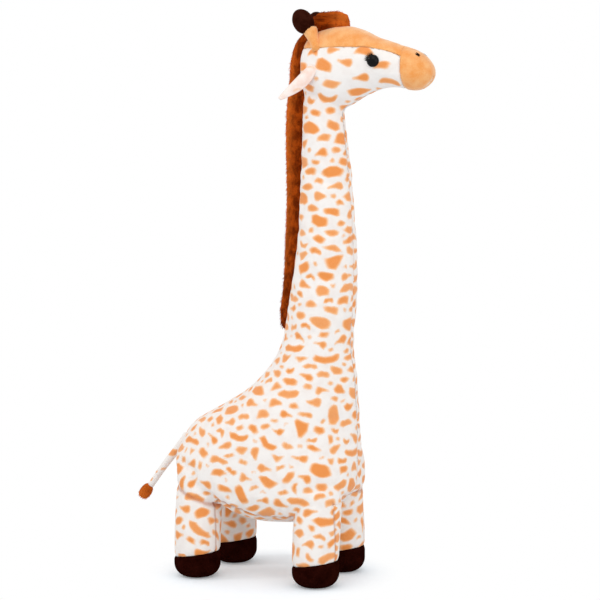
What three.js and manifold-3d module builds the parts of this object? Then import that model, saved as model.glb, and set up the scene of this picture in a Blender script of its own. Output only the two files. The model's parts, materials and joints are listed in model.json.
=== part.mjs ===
// Standing stuffed toy giraffe: printed plush sewn over stuffing, with a ring seam at each hoof.
// Millimetres. +X towards the nose, +Y to the giraffe's left, +Z up. Heights count from the floor and
// reaches along X from the middle of the four legs; the finished toy is centred on its origin.
import * as THREE from 'three';
import { mergeVertices } from 'three/addons/utils/BufferGeometryUtils.js';
import Module from 'manifold-3d';

const wasm = await Module();
wasm.setup();

// Cloth
const SKIN = 2.2;
const SEAM_GAP = 0.3;

// Torso and neck
const BELLY_HEIGHT = 88;
const BELLY_DOME = 42;
const REAR_RISE = 50;
const FRONT_RISE = 26;
const RISE_HEIGHT = 110;
const NECK_SEAM_HEIGHT = 345;
const HEAD_HEIGHT = 760;
const NECK_TOP_DOME = 26;
const BELLY_PANEL_HALF_WIDTH = 52;
const BELLY_PANEL_HEIGHT = 116;
const BELLY_FULLNESS = 0.75;
const BELLY_TURNS = [24, 48, 70];
const NECK_CAP_SHARE = 0.7;
const TORSO_SLICES = [
  { height: 130, rear: -143, front: 137.5, half: 90, power: 3.2 },
  { height: 165, rear: -143, front: 138.5, half: 91, power: 3 },
  { height: 200, rear: -138.5, front: 139, half: 88, power: 2.5 },
  { height: 230, rear: -120, front: 139, half: 83, power: 2.2 },
  { height: 265, rear: -63, front: 137, half: 74, power: 2.1 },
  { height: 300, rear: -19, front: 135, half: 63, power: 2 },
];
// Placed by their share of the way from the neck seam up to the head
const NECK_SLICES = [
  { along: 0.012, rear: 16.5, front: 128, half: 52 },
  { along: 0.157, rear: 30, front: 131, half: 48.5 },
  { along: 0.325, rear: 42, front: 132.3, half: 43.5 },
  { along: 0.614, rear: 51, front: 124.4, half: 35.5 },
  { along: 0.863, rear: 54, front: 113.5, half: 31 },
  { along: 0.964, rear: 58, front: 108, half: 29 },
];

// Head, sliced across X from the back of the skull to the nose, over and under the head's own height
const HEAD_SLICES = [
  { reach: 53, over: 27, under: 25, half: 16 },
  { reach: 58, over: 39, under: 40, half: 26 },
  { reach: 72, over: 52, under: 54, half: 36 },
  { reach: 92, over: 59, under: 61, half: 41 },
  { reach: 118, over: 62, under: 57, half: 43 },
  { reach: 146, over: 56.5, under: 42, half: 41 },
  { reach: 176, over: 43, under: 30, half: 36 },
  { reach: 205, over: 33.5, under: 29, half: 32 },
  { reach: 226, over: 26.5, under: 33.5, half: 30.5 },
  { reach: 243, over: 16.5, under: 28.5, half: 25.5 },
  { reach: 252.5, over: 6, under: 20, half: 17 },
];
const NOSE_REACH = 257.4;
const NOSE_DROP = 8.5;
const SKULL_REACH = 50.5;
const SKULL_RISE = 2;
const HEAD_POWER = 2.1;
const MUZZLE_SEAM_REACH = 214;
const BLAZE_EDGE_RISE = 30;
const BLAZE_EDGE_DROP = 14;
const BLAZE_BEND_REACH = 150;

// Legs and hooves
const LEG_RADIUS = 35;
const LEG_OFFSET = 60;
const FRONT_LEG_TOP = 156;
const REAR_LEG_TOP = 178;
const LEGS = [
  { name: 'right_front', x: 96, y: -LEG_OFFSET, top: FRONT_LEG_TOP },
  { name: 'right_rear', x: -97, y: -LEG_OFFSET, top: REAR_LEG_TOP },
  { name: 'left_front', x: 90, y: LEG_OFFSET, top: FRONT_LEG_TOP },
  { name: 'left_rear', x: -91, y: LEG_OFFSET, top: REAR_LEG_TOP },
];
const LEG_DOME = 50;
const LEG_DOME_TURNS = [0, 30, 54, 74];
const LEG_LEAN_IN = 12;
const HOOF_HEIGHT = 35;
const HOOF_TILT = THREE.MathUtils.degToRad(9);
const HOOF_ROUND = 21;
const HOOF_TURNS = [0, 32, 62, 90];

// Horns
const HORN_REACH = 81;
const HORN_OFFSET = 25;
const HORN_LEAN_BACK = THREE.MathUtils.degToRad(30);
const HORN_LEAN_OUT = THREE.MathUtils.degToRad(8);
const HORN_STEM_RADIUS = 8.8;
const HORN_FLARE = 2.4;
const HORN_STEM_LENGTH = 17;
const HORN_TIP_RADIUS = 15.5;
const HORN_TIP_LENGTH = 34;

// Eyes: a domed button on a shank, held by a washer inside the head, with a lash behind its rim
const EYE_REACH = 175;
const EYE_RISE = 9;
const EYE_RADIUS = 9;
const EYE_DOME = 6.4;
const EYE_TURNS = [20, 42, 64];
const EYE_SINK = 0.8;
const SHANK_RADIUS = 2.2;
const SHANK_LENGTH = 10;
const WASHER_RADIUS = 8.5;
const WASHER_THICKNESS = 1.2;
const WASHER_DEPTH = 4.6;
const LASH_LENGTH = 3.6;
const LASH_THICKNESS = 0.8;
const LASH_START = THREE.MathUtils.degToRad(95);
const LASH_END = THREE.MathUtils.degToRad(175);
const LASH_POINTS = 5;

// Ears
const EAR_REACH = 84;
const EAR_RISE = 3;
const EAR_LENGTH = 70;
const EAR_HALF_WIDTH = 15;
const EAR_ROOT_HALF_WIDTH = 8;
const EAR_TIP_HALF_WIDTH = 2.5;
const EAR_PLY = 2.35;
const EAR_RIM = 0.7;
const EAR_CUP = 5;
const EAR_STAND_OFF = 1.95;
const EAR_SPREAD = THREE.MathUtils.degToRad(26);
const EAR_DROOP = THREE.MathUtils.degToRad(49);

// Mane, by its share of the neck's height, how far it stands out behind the neck and how far it sinks in
const MANE_SLICES = [
  { along: 0.077, out: 10.7, sunk: 6, half: 4.5 },
  { along: 0.113, out: 15.6, sunk: 6, half: 7.5 },
  { along: 0.205, out: 18.4, sunk: 7, half: 10 },
  { along: 0.373, out: 24.7, sunk: 8, half: 11.5 },
  { along: 0.542, out: 27.4, sunk: 8, half: 11.5 },
  { along: 0.711, out: 31.2, sunk: 8, half: 11.5 },
  { along: 0.855, out: 31.8, sunk: 8, half: 11.5 },
  { along: 0.964, out: 31, sunk: 10, half: 11.5 },
  { along: 1.048, out: 26.5, sunk: 12, half: 11.5 },
  { along: 1.106, out: 17, sunk: 22, half: 10 },
];
const MANE_TIP = 0.063;
const MANE_TOP = 1.137;
const MANE_TOP_REACH = 60;
const MANE_POWER = 2.4;

// Forelock, by its rise above the top of the head
const FORELOCK_SLICES = [
  { reach: 67, rise: 23, half: 9 },
  { reach: 73, rise: 28, half: 12 },
  { reach: 88, rise: 26.4, half: 13.5 },
  { reach: 105, rise: 23.6, half: 14 },
  { reach: 115.5, rise: 20, half: 13.5 },
  { reach: 121, rise: 13.7, half: 11 },
];
const FORELOCK_POWER = 2.6;
const FORELOCK_ROOT = 8;
const FORELOCK_END_ROUND = 1.5;

// Tail
const TAIL_HEIGHT = 199.5;
const TAIL_RADIUS = 6.5;
const TAIL_END_RADIUS = 5;
const TAIL_LENGTH = 101;
const TAIL_ROOT_TURNS = [-60, -30, 0];
const TAIL_CLOTH = 1.4;
const TAIL_DIP = THREE.MathUtils.degToRad(52);
const TUFT_LENGTH = 27;
const TUFT_RADIUS = 11;
const TUFT_OUTLINE = [
  { along: 0.25, out: 0.9 },
  { along: 0.55, out: 1 },
  { along: 0.9, out: 0.8 },
];

// Facets round each form
const BODY_FACETS = 20;
const HEAD_FACETS = 16;
const LEG_FACETS = 12;
const HAIR_FACETS = 12;
const SMALL_FACETS = 12;
const EYE_FACETS = 16;
const TAIL_FACETS = 10;

const material = (color, roughness = 0.95) => new THREE.MeshStandardMaterial({ color, roughness });
const printedPlush = material(0xf7ece4);
const tanPlush = material(0xf8a868);
const brownFur = material(0xa8480f);
const darkPlush = material(0x2b0f0a);
const earLining = material(0xf4bfa8);
const stuffing = material(0xf2f2ee, 1);
const eyePlastic = material(0x0a0808, 0.1);
const washerPlastic = material(0xe8e8e8, 0.5);
const lashFelt = material(0x1a1210, 0.8);

const toy = new THREE.Group();

// Surfaces and solids

function closedSurface(points, triangles) {
  const volume = triangles.reduce(
    (sum, [a, b, c]) => sum + points[a].dot(points[b].clone().cross(points[c])),
    0,
  );
  const outward = volume > 0 ? triangles : triangles.map(([a, b, c]) => [a, c, b]);
  return new THREE.BufferGeometry().setFromPoints(points).setIndex(outward.flat());
}

function loft(rings, first, last) {
  const count = rings[0].length;
  const points = [first, ...rings.flat(), last];
  const end = points.length - 1;
  const at = (ring, i) => 1 + ring * count + (i % count);
  const triangles = [];
  for (let i = 0; i < count; i += 1) {
    triangles.push([0, at(0, i + 1), at(0, i)]);
    triangles.push([end, at(rings.length - 1, i), at(rings.length - 1, i + 1)]);
    for (let ring = 0; ring + 1 < rings.length; ring += 1) {
      triangles.push([at(ring, i), at(ring, i + 1), at(ring + 1, i + 1)]);
      triangles.push([at(ring, i), at(ring + 1, i + 1), at(ring + 1, i)]);
    }
  }
  return closedSurface(points, triangles);
}

// A thin sheet between two surfaces over a grid, closed along its rim
function plate(rows, columns, upper, lower) {
  const points = [];
  const width = columns + 1;
  for (const surface of [upper, lower]) {
    for (let row = 0; row <= rows; row += 1) {
      for (let column = 0; column < width; column += 1) {
        points.push(surface(row / rows, (2 * column) / columns - 1));
      }
    }
  }
  const below = (rows + 1) * width;
  const triangles = [];
  const quad = (a, b, c, d) => triangles.push([a, b, c], [a, c, d]);
  for (let row = 0; row < rows; row += 1) {
    for (let column = 0; column < columns; column += 1) {
      const a = row * width + column;
      quad(a, a + 1, a + width + 1, a + width);
      quad(below + a, below + a + width, below + a + width + 1, below + a + 1);
    }
    const left = row * width;
    const right = left + columns;
    quad(left, left + width, below + left + width, below + left);
    quad(right, below + right, below + right + width, right + width);
  }
  for (let column = 0; column < columns; column += 1) {
    const far = rows * width + column;
    quad(column, below + column, below + column + 1, column + 1);
    quad(far, far + 1, below + far + 1, below + far);
  }
  return closedSurface(points, triangles);
}

function offset(geometry, distance) {
  const moved = geometry.clone();
  moved.computeVertexNormals();
  const { position, normal } = moved.attributes;
  const point = new THREE.Vector3();
  const direction = new THREE.Vector3();
  for (let i = 0; i < position.count; i += 1) {
    point.fromBufferAttribute(position, i);
    direction.fromBufferAttribute(normal, i);
    point.addScaledVector(direction, distance);
    position.setXYZ(i, point.x, point.y, point.z);
  }
  moved.deleteAttribute('normal');
  return moved;
}

// The same surface with its shared corners joined and no collapsed triangles
function welded(geometry) {
  const bare = geometry.clone();
  bare.deleteAttribute('normal');
  bare.deleteAttribute('uv');
  const merged = mergeVertices(bare, WELD);
  const corners = Array.from(merged.index.array);
  const kept = [];
  for (let i = 0; i < corners.length; i += 3) {
    const [a, b, c] = corners.slice(i, i + 3);
    if (a !== b && b !== c && c !== a) kept.push(a, b, c);
  }
  return merged.setIndex(kept);
}

function solid(geometry) {
  const { attributes, index } = welded(geometry);
  return new wasm.Manifold(
    new wasm.Mesh({
      numProp: 3,
      vertProperties: new Float32Array(attributes.position.array),
      triVerts: new Uint32Array(index.array),
    }),
  );
}

function geometryOf(body) {
  const { vertProperties, triVerts } = body.getMesh();
  const geometry = new THREE.BufferGeometry();
  geometry.setAttribute('position', new THREE.BufferAttribute(vertProperties, 3));
  geometry.setIndex(new THREE.BufferAttribute(triVerts, 1));
  geometry.computeVertexNormals();
  return geometry;
}

const cut = (body, ...tools) => tools.reduce((left, tool) => left.subtract(tool), body);

function addPiece(name, body, look, parent = toy) {
  const mesh = new THREE.Mesh(geometryOf(body.simplify(SLIVER)), look);
  mesh.name = name;
  parent.add(mesh);
  return mesh;
}

function block(low, high) {
  const size = new THREE.Vector3().subVectors(high, low);
  const geometry = new THREE.BoxGeometry(size.x, size.y, size.z);
  const middle = new THREE.Vector3().addVectors(low, high).multiplyScalar(0.5);
  return solid(geometry.translate(middle.x, middle.y, middle.z));
}

const WELD = 0.001;
const SLIVER = 0.05;
const REACH_LIMIT = 2 * (NOSE_REACH - TORSO_SLICES[0].rear);
const HEIGHT_LIMIT = 2 * HEAD_HEIGHT;
const belowHeight = (height) =>
  block(
    new THREE.Vector3(-REACH_LIMIT, -REACH_LIMIT, -HEIGHT_LIMIT),
    new THREE.Vector3(REACH_LIMIT, REACH_LIMIT, height),
  );
const aboveHeight = (height) =>
  block(
    new THREE.Vector3(-REACH_LIMIT, -REACH_LIMIT, height),
    new THREE.Vector3(REACH_LIMIT, REACH_LIMIT, HEIGHT_LIMIT),
  );

// A point's turn round a rounded slice, each half axis being 1
function roundedTurn(i, count, power) {
  const turn = (2 * Math.PI * i) / count;
  const bend = (value) => Math.sign(value) * Math.abs(value) ** (2 / power);
  return [bend(Math.cos(turn)), bend(Math.sin(turn))];
}

// Reads a table of slices at any place between its rows
function between(slices, along) {
  const fields = Object.keys(slices[0]).filter((field) => field !== along);
  const places = slices.map((slice) => slice[along]);
  const values = slices.flatMap((slice) => fields.map((field) => slice[field]));
  const curve = new THREE.CubicInterpolant(places, values, fields.length);
  return (place) => {
    const read = curve.evaluate(place);
    return Object.fromEntries(fields.map((field, i) => [field, read[i]]));
  };
}

const steps = (from, to, count) =>
  Array.from({ length: count + 1 }, (_, i) => from + ((to - from) * i) / count);

// Where a straight line first meets a form, with the form's outward direction there
function meet(form, from, towards) {
  const target = new THREE.Mesh(form, new THREE.MeshBasicMaterial());
  const direction = new THREE.Vector3().subVectors(towards, from).normalize();
  const [hit] = new THREE.Raycaster(from, direction).intersectObject(target);
  return { point: hit.point, outward: hit.face.normal.clone() };
}

// Torso and neck

const neckHeight = (along) => THREE.MathUtils.lerp(NECK_SEAM_HEIGHT, HEAD_HEIGHT, along);
const BODY_SLICES = [
  ...TORSO_SLICES,
  ...NECK_SLICES.map(({ along, rear, front, half }) => {
    return { height: neckHeight(along), rear, front, half, power: 2 };
  }),
];
const bodyAt = between(BODY_SLICES, 'height');
const smooth = (share) => THREE.MathUtils.smoothstep(share, 0, 1);

function undersideRise(x) {
  const first = BODY_SLICES[0];
  if (x < 0) return REAR_RISE * smooth(x / first.rear);
  return FRONT_RISE * smooth((2 * x) / first.front - 1);
}

function bodyRing(height, slice, scale) {
  const middle = (slice.rear + slice.front) / 2;
  const reach = (slice.front - slice.rear) / 2;
  const fade = Math.max(0, 1 - (height - BELLY_HEIGHT) / RISE_HEIGHT);
  return Array.from({ length: BODY_FACETS }, (_, i) => {
    const [along, across] = roundedTurn(i, BODY_FACETS, slice.power);
    const x = middle + reach * scale * along;
    return new THREE.Vector3(x, slice.half * scale * across, height + fade * undersideRise(x));
  });
}

function makeBodyForm() {
  const first = BODY_SLICES[0];
  const last = BODY_SLICES[BODY_SLICES.length - 1];
  const domeTop = BELLY_HEIGHT + BELLY_DOME;
  const rings = BELLY_TURNS.map((degrees) => {
    const turn = THREE.MathUtils.degToRad(degrees);
    const height = domeTop - BELLY_DOME * Math.cos(turn);
    return bodyRing(height, first, Math.sin(turn) ** BELLY_FULLNESS);
  });
  const torsoHeights = steps(domeTop, NECK_SEAM_HEIGHT + SKIN, 6);
  const neckHeights = steps(NECK_SEAM_HEIGHT, last.height, 7).slice(1);
  for (const height of [...torsoHeights, ...neckHeights]) {
    rings.push(bodyRing(height, bodyAt(height), 1));
  }
  rings.push(bodyRing(last.height + NECK_TOP_DOME * NECK_CAP_SHARE, last, NECK_CAP_SHARE));
  const middle = (last.rear + last.front) / 2;
  return loft(
    rings,
    new THREE.Vector3((first.rear + first.front) / 2, 0, BELLY_HEIGHT),
    new THREE.Vector3(middle, 0, last.height + NECK_TOP_DOME),
  );
}

// Head

const headAt = between(HEAD_SLICES, 'reach');

function makeHeadForm() {
  const rings = HEAD_SLICES.map((slice) => {
    const middle = HEAD_HEIGHT + (slice.over - slice.under) / 2;
    const tall = (slice.over + slice.under) / 2;
    return Array.from({ length: HEAD_FACETS }, (_, i) => {
      const [across, up] = roundedTurn(i, HEAD_FACETS, HEAD_POWER);
      return new THREE.Vector3(slice.reach, slice.half * across, middle + tall * up);
    });
  });
  return loft(
    rings,
    new THREE.Vector3(SKULL_REACH, 0, HEAD_HEIGHT + SKULL_RISE),
    new THREE.Vector3(NOSE_REACH, 0, HEAD_HEIGHT - NOSE_DROP),
  );
}

// The side outline of the blaze, from the skull to the muzzle seam, lifted by a clearance
function blazeCutter(lift) {
  const edge = new THREE.Shape();
  const seam = MUZZLE_SEAM_REACH;
  const high = HEAD_HEIGHT + BLAZE_EDGE_RISE + lift;
  const low = high - BLAZE_EDGE_DROP;
  edge.moveTo(-REACH_LIMIT, high);
  edge.lineTo(BLAZE_BEND_REACH, high);
  edge.quadraticCurveTo((BLAZE_BEND_REACH + seam) / 2, high, seam, low);
  edge.lineTo(REACH_LIMIT, low);
  edge.lineTo(REACH_LIMIT, HEIGHT_LIMIT);
  edge.lineTo(-REACH_LIMIT, HEIGHT_LIMIT);
  const options = { depth: 2 * REACH_LIMIT, bevelEnabled: false, curveSegments: 4 };
  const geometry = new THREE.ExtrudeGeometry(edge, options);
  return solid(geometry.rotateX(Math.PI / 2).translate(0, REACH_LIMIT, 0));
}

const beforeReach = (reach) =>
  block(
    new THREE.Vector3(-REACH_LIMIT, -REACH_LIMIT, -HEIGHT_LIMIT),
    new THREE.Vector3(reach, REACH_LIMIT, HEIGHT_LIMIT),
  );
const beyondReach = (reach) =>
  block(
    new THREE.Vector3(reach, -REACH_LIMIT, -HEIGHT_LIMIT),
    new THREE.Vector3(REACH_LIMIT, REACH_LIMIT, HEIGHT_LIMIT),
  );

// Legs: a round sole, a straight shank and a domed top that is tucked into the torso

function makeLegForm(leg) {
  const dome = leg.top - LEG_DOME;
  const profile = [
    ...HOOF_TURNS.map((degrees) => {
      const turn = THREE.MathUtils.degToRad(degrees);
      const height = HOOF_ROUND * (1 - Math.cos(turn));
      return { height, radius: LEG_RADIUS - HOOF_ROUND * (1 - Math.sin(turn)) };
    }),
    ...LEG_DOME_TURNS.map((degrees) => {
      const turn = THREE.MathUtils.degToRad(degrees);
      return { height: dome + LEG_DOME * Math.sin(turn), radius: LEG_RADIUS * Math.cos(turn) };
    }),
  ];
  const lean = (height) => LEG_LEAN_IN * smooth((height - HOOF_HEIGHT) / (leg.top - HOOF_HEIGHT));
  const centre = (height) =>
    new THREE.Vector3(leg.x, leg.y - Math.sign(leg.y) * lean(height), height);
  const rings = profile.map(({ height, radius }) =>
    Array.from({ length: LEG_FACETS }, (_, i) => {
      const turn = (2 * Math.PI * i) / LEG_FACETS;
      const arm = new THREE.Vector3(Math.cos(turn), Math.sin(turn), 0);
      return centre(height).addScaledVector(arm, radius);
    }),
  );
  return loft(rings, centre(0), centre(leg.top));
}

// Everything under the tilted ring seam of a hoof, raised by a clearance
function hoofCutter(leg, lift) {
  const depth = 2 * HOOF_HEIGHT;
  const geometry = new THREE.BoxGeometry(4 * LEG_RADIUS, 4 * LEG_RADIUS, depth);
  geometry.translate(0, 0, lift - depth / 2);
  geometry.rotateY(-HOOF_TILT);
  return solid(geometry.translate(leg.x, leg.y, HOOF_HEIGHT));
}

// Turned pieces, round their own Z

function turned(profile, facets = SMALL_FACETS) {
  const points = profile.map(([radius, height]) => new THREE.Vector2(radius, height));
  return welded(new THREE.LatheGeometry(points, facets).rotateX(Math.PI / 2));
}

function facing(point, outward, up) {
  const across = new THREE.Vector3().crossVectors(up, outward).normalize();
  const along = new THREE.Vector3().crossVectors(outward, across);
  return new THREE.Matrix4().makeBasis(across, along, outward).setPosition(point);
}

const rodCutter = (radius, low, high) =>
  turned([[0, low], [radius, low], [radius, high], [0, high]]);

const bodyForm = makeBodyForm();
const headForm = makeHeadForm();
const legForms = new Map(LEGS.map((leg) => [leg.name, makeLegForm(leg)]));

// Each form as its outside, the inside of its cloth, its stuffing and the room that it needs
function layers(form) {
  return {
    outside: solid(form),
    inside: solid(offset(form, -SKIN)),
    filling: solid(offset(form, -SKIN - SEAM_GAP)),
    fillingRoom: solid(offset(form, -SKIN)),
    room: solid(offset(form, SEAM_GAP)),
  };
}

const body = layers(bodyForm);
const head = layers(headForm);
const legLayers = new Map(LEGS.map((leg) => [leg.name, layers(legForms.get(leg.name))]));
const seamBelow = belowHeight(NECK_SEAM_HEIGHT + SEAM_GAP / 2);
const seamAbove = aboveHeight(NECK_SEAM_HEIGHT - SEAM_GAP / 2);

function addTorsoAndNeck() {
  const shell = cut(body.outside, body.inside);
  const legHoles = LEGS.map((leg) => legLayers.get(leg.name).inside);
  const torso = cut(shell, seamAbove, ...legHoles);
  const legReaches = LEGS.map((leg) => leg.x);
  const rear = Math.max(...legReaches.filter((x) => x < 0));
  const front = Math.min(...legReaches.filter((x) => x > 0));
  const wide = BELLY_PANEL_HALF_WIDTH;
  const panel = (grow) =>
    block(
      new THREE.Vector3(rear - grow, -wide - grow, 0),
      new THREE.Vector3(front + grow, wide + grow, BELLY_PANEL_HEIGHT + grow),
    );
  addPiece('torso_skin', cut(torso, panel(SEAM_GAP / 2)), printedPlush);
  addPiece('belly_panel', torso.intersect(panel(-SEAM_GAP / 2)), printedPlush);
  addPiece('neck_skin', cut(shell, seamBelow, head.room), printedPlush);
  addPiece('torso_stuffing', cut(body.filling, seamAbove), stuffing);
  addPiece('neck_stuffing', cut(body.filling, seamBelow, head.fillingRoom), stuffing);
}

function addLegs() {
  for (const leg of LEGS) {
    const { outside, inside, filling } = legLayers.get(leg.name);
    const shell = cut(outside, inside);
    const half = SEAM_GAP / 2;
    addPiece(`${leg.name}_leg_skin`, cut(shell, hoofCutter(leg, half), body.room), printedPlush);
    addPiece(`${leg.name}_hoof`, shell.intersect(hoofCutter(leg, -half)), darkPlush);
    addPiece(`${leg.name}_leg_stuffing`, cut(filling, body.fillingRoom), stuffing);
  }
}

// Eyes

function makeEye(side) {
  const level = new THREE.Vector3(EYE_REACH, 0, HEAD_HEIGHT + EYE_RISE);
  const { point, outward } = meet(headForm, level.clone().setY(side * REACH_LIMIT), level);
  const frame = facing(point, outward, new THREE.Vector3(0, 0, 1));
  const dome = EYE_TURNS.map((degrees) => {
    const turn = THREE.MathUtils.degToRad(degrees);
    return [EYE_RADIUS * Math.cos(turn), EYE_DOME * Math.sin(turn) - EYE_SINK];
  });
  const button = turned(
    [[0, -SHANK_LENGTH], [SHANK_RADIUS, -SHANK_LENGTH], [SHANK_RADIUS, -EYE_SINK],
      [EYE_RADIUS, -EYE_SINK], ...dome, [0, EYE_DOME - EYE_SINK]],
    EYE_FACETS,
  );
  const bore = SHANK_RADIUS + SEAM_GAP;
  const washerFloor = -WASHER_DEPTH - WASHER_THICKNESS;
  const washer = turned(
    [[bore, washerFloor], [WASHER_RADIUS, washerFloor], [WASHER_RADIUS, -WASHER_DEPTH],
      [bore, -WASHER_DEPTH], [bore, washerFloor]],
  );
  const inner = EYE_RADIUS + SEAM_GAP;
  const lash = new THREE.Shape();
  const sideways = (turn) => (side < 0 ? turn : Math.PI - turn);
  const at = (radius, turn) => {
    const around = sideways(turn);
    return [radius * Math.cos(around), radius * Math.sin(around)];
  };
  lash.moveTo(...at(inner, LASH_START));
  for (const share of steps(0, 1, 2 * LASH_POINTS).slice(1)) {
    const turn = THREE.MathUtils.lerp(LASH_START, LASH_END, share);
    const long = Math.round(share * 2 * LASH_POINTS) % 2;
    lash.lineTo(...at(inner + (long ? LASH_LENGTH : LASH_LENGTH / 3), turn));
  }
  for (const turn of steps(LASH_END, LASH_START, 4).slice(0, -1)) lash.lineTo(...at(inner, turn));
  const lashSheet = new THREE.ExtrudeGeometry(lash, { depth: LASH_THICKNESS, bevelEnabled: false });
  lashSheet.translate(0, 0, SEAM_GAP);
  return {
    button: solid(button.applyMatrix4(frame)),
    washer: solid(washer.applyMatrix4(frame)),
    lash: solid(lashSheet.applyMatrix4(frame)),
    seat: solid(rodCutter(inner, -EYE_SINK - SEAM_GAP, EYE_DOME).applyMatrix4(frame)),
    hole: solid(rodCutter(bore, -2 * SHANK_LENGTH, 0).applyMatrix4(frame)),
    pocket: solid(
      rodCutter(WASHER_RADIUS + SEAM_GAP, -SHANK_LENGTH - SEAM_GAP, 0).applyMatrix4(frame),
    ),
  };
}

const eyes = { right: makeEye(-1), left: makeEye(1) };

function addHead() {
  const eyeCuts = Object.values(eyes).flatMap((eye) => [eye.seat, eye.hole]);
  const shell = cut(head.outside, head.inside, body.inside, ...eyeCuts);
  const half = SEAM_GAP / 2;
  const rear = cut(shell, beyondReach(MUZZLE_SEAM_REACH - half));
  addPiece('head_skin', cut(rear, blazeCutter(-half)), printedPlush);
  addPiece('blaze_panel', rear.intersect(blazeCutter(half)), tanPlush);
  addPiece('muzzle_skin', cut(shell, beforeReach(MUZZLE_SEAM_REACH + half)), tanPlush);
  const pockets = Object.values(eyes).map((eye) => eye.pocket);
  addPiece('head_stuffing', cut(head.filling, ...pockets), stuffing);
  for (const [side, eye] of Object.entries(eyes)) {
    addPiece(`${side}_eye`, eye.button, eyePlastic);
    addPiece(`${side}_eye_washer`, eye.washer, washerPlastic);
    addPiece(`${side}_eyelash`, eye.lash, lashFelt);
  }
}

// Horns: a flared stem and an egg-shaped tip, both of cloth over one stuffed core

function hornFrame(side) {
  const above = new THREE.Vector3(HORN_REACH, side * HORN_OFFSET, HEIGHT_LIMIT);
  const { point } = meet(headForm, above, new THREE.Vector3(HORN_REACH, side * HORN_OFFSET, 0));
  const lean = new THREE.Vector3(
    -Math.sin(HORN_LEAN_BACK),
    side * Math.sin(HORN_LEAN_OUT),
    Math.cos(HORN_LEAN_BACK) * Math.cos(HORN_LEAN_OUT),
  );
  return facing(point, lean.normalize(), new THREE.Vector3(1, 0, 0));
}

function makeHornForm() {
  const tipMiddle = HORN_STEM_LENGTH + HORN_TIP_LENGTH / 2;
  const pinch = Math.asin(HORN_STEM_RADIUS / HORN_TIP_RADIUS);
  const egg = steps(pinch, Math.PI, 6).map((turn) => {
    const along = turn < Math.PI / 2 ? Math.cos(turn) / Math.cos(pinch) : Math.cos(turn);
    return [HORN_TIP_RADIUS * Math.sin(turn), tipMiddle - (HORN_TIP_LENGTH / 2) * along];
  });
  egg[egg.length - 1][0] = 0;
  return turned([
    [0, -2 * HORN_STEM_RADIUS],
    [HORN_STEM_RADIUS + 2 * HORN_FLARE, -2 * HORN_STEM_RADIUS],
    [HORN_STEM_RADIUS + HORN_FLARE, 0],
    [HORN_STEM_RADIUS, HORN_STEM_LENGTH / 2],
    ...egg,
  ]);
}

function addHorn(side, name) {
  const frame = hornFrame(side);
  const { outside, inside, filling } = layers(makeHornForm());
  const shell = cut(outside, inside);
  for (const [part, piece, look] of [
    ['stem', cut(shell, aboveHeight(HORN_STEM_LENGTH - SEAM_GAP / 2)), tanPlush],
    ['tip', cut(shell, belowHeight(HORN_STEM_LENGTH + SEAM_GAP / 2)), darkPlush],
    ['stuffing', filling, stuffing],
  ]) {
    const placed = solid(geometryOf(piece).applyMatrix4(frame));
    addPiece(`${name}_horn_${part}`, cut(placed, head.room), look);
  }
}

// Mane and forelock

function addMane() {
  const rings = MANE_SLICES.map(({ along, out, sunk, half }) => {
    const height = neckHeight(along);
    const nape = bodyAt(height).rear;
    return Array.from({ length: HAIR_FACETS }, (_, i) => {
      const [inwards, across] = roundedTurn(i, HAIR_FACETS, MANE_POWER);
      const x = nape + (sunk - out) / 2 + ((sunk + out) / 2) * inwards;
      return new THREE.Vector3(x, half * across, height);
    });
  });
  const tipHeight = neckHeight(MANE_TIP);
  const tip = new THREE.Vector3(bodyAt(tipHeight).rear - SEAM_GAP, 0, tipHeight);
  const form = loft(rings, tip, new THREE.Vector3(MANE_TOP_REACH, 0, neckHeight(MANE_TOP)));
  const forelockRoom = solid(offset(forelockForm, SEAM_GAP));
  addPiece('mane', cut(solid(form), body.room, head.room, forelockRoom), brownFur);
}

function makeForelockForm() {
  const rings = FORELOCK_SLICES.map(({ reach, rise, half }) => {
    const crown = HEAD_HEIGHT + headAt(reach).over;
    return Array.from({ length: HAIR_FACETS }, (_, i) => {
      const [across, up] = roundedTurn(i, HAIR_FACETS, FORELOCK_POWER);
      const z = crown + (rise - FORELOCK_ROOT) / 2 + ((rise + FORELOCK_ROOT) / 2) * up;
      return new THREE.Vector3(reach, half * across, z);
    });
  });
  const middle = (ring) => new THREE.Box3().setFromPoints(ring).getCenter(new THREE.Vector3());
  const first = middle(rings[0]).add(new THREE.Vector3(-FORELOCK_END_ROUND, 0, 0));
  const last = middle(rings[rings.length - 1]).add(new THREE.Vector3(FORELOCK_END_ROUND, 0, 0));
  return loft(rings, first, last);
}

const forelockForm = makeForelockForm();

function addForelock() {
  addPiece('forelock', cut(solid(forelockForm), head.room), brownFur);
}

// Ears: two plies of cloth, cupped and sewn round the rim, that flap about the seam at the root

function earHalfWidth(along) {
  const swell = Math.sin(Math.PI * along ** 0.75) ** 0.8;
  const ends = THREE.MathUtils.lerp(EAR_ROOT_HALF_WIDTH, EAR_TIP_HALF_WIDTH, along);
  return ends + (EAR_HALF_WIDTH - (EAR_ROOT_HALF_WIDTH + EAR_TIP_HALF_WIDTH) / 2) * swell;
}

function earSurface(lift) {
  return (along, across) => {
    const half = earHalfWidth(along);
    const cup = -EAR_CUP * Math.sin(Math.PI * along) * across * across;
    const swell = (1 - across ** 2) * Math.sin(Math.PI * (0.25 + 0.75 * along));
    const ply = EAR_RIM + (EAR_PLY - EAR_RIM) * swell;
    return new THREE.Vector3(EAR_LENGTH * along, half * across, cup + lift(ply));
  };
}

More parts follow.
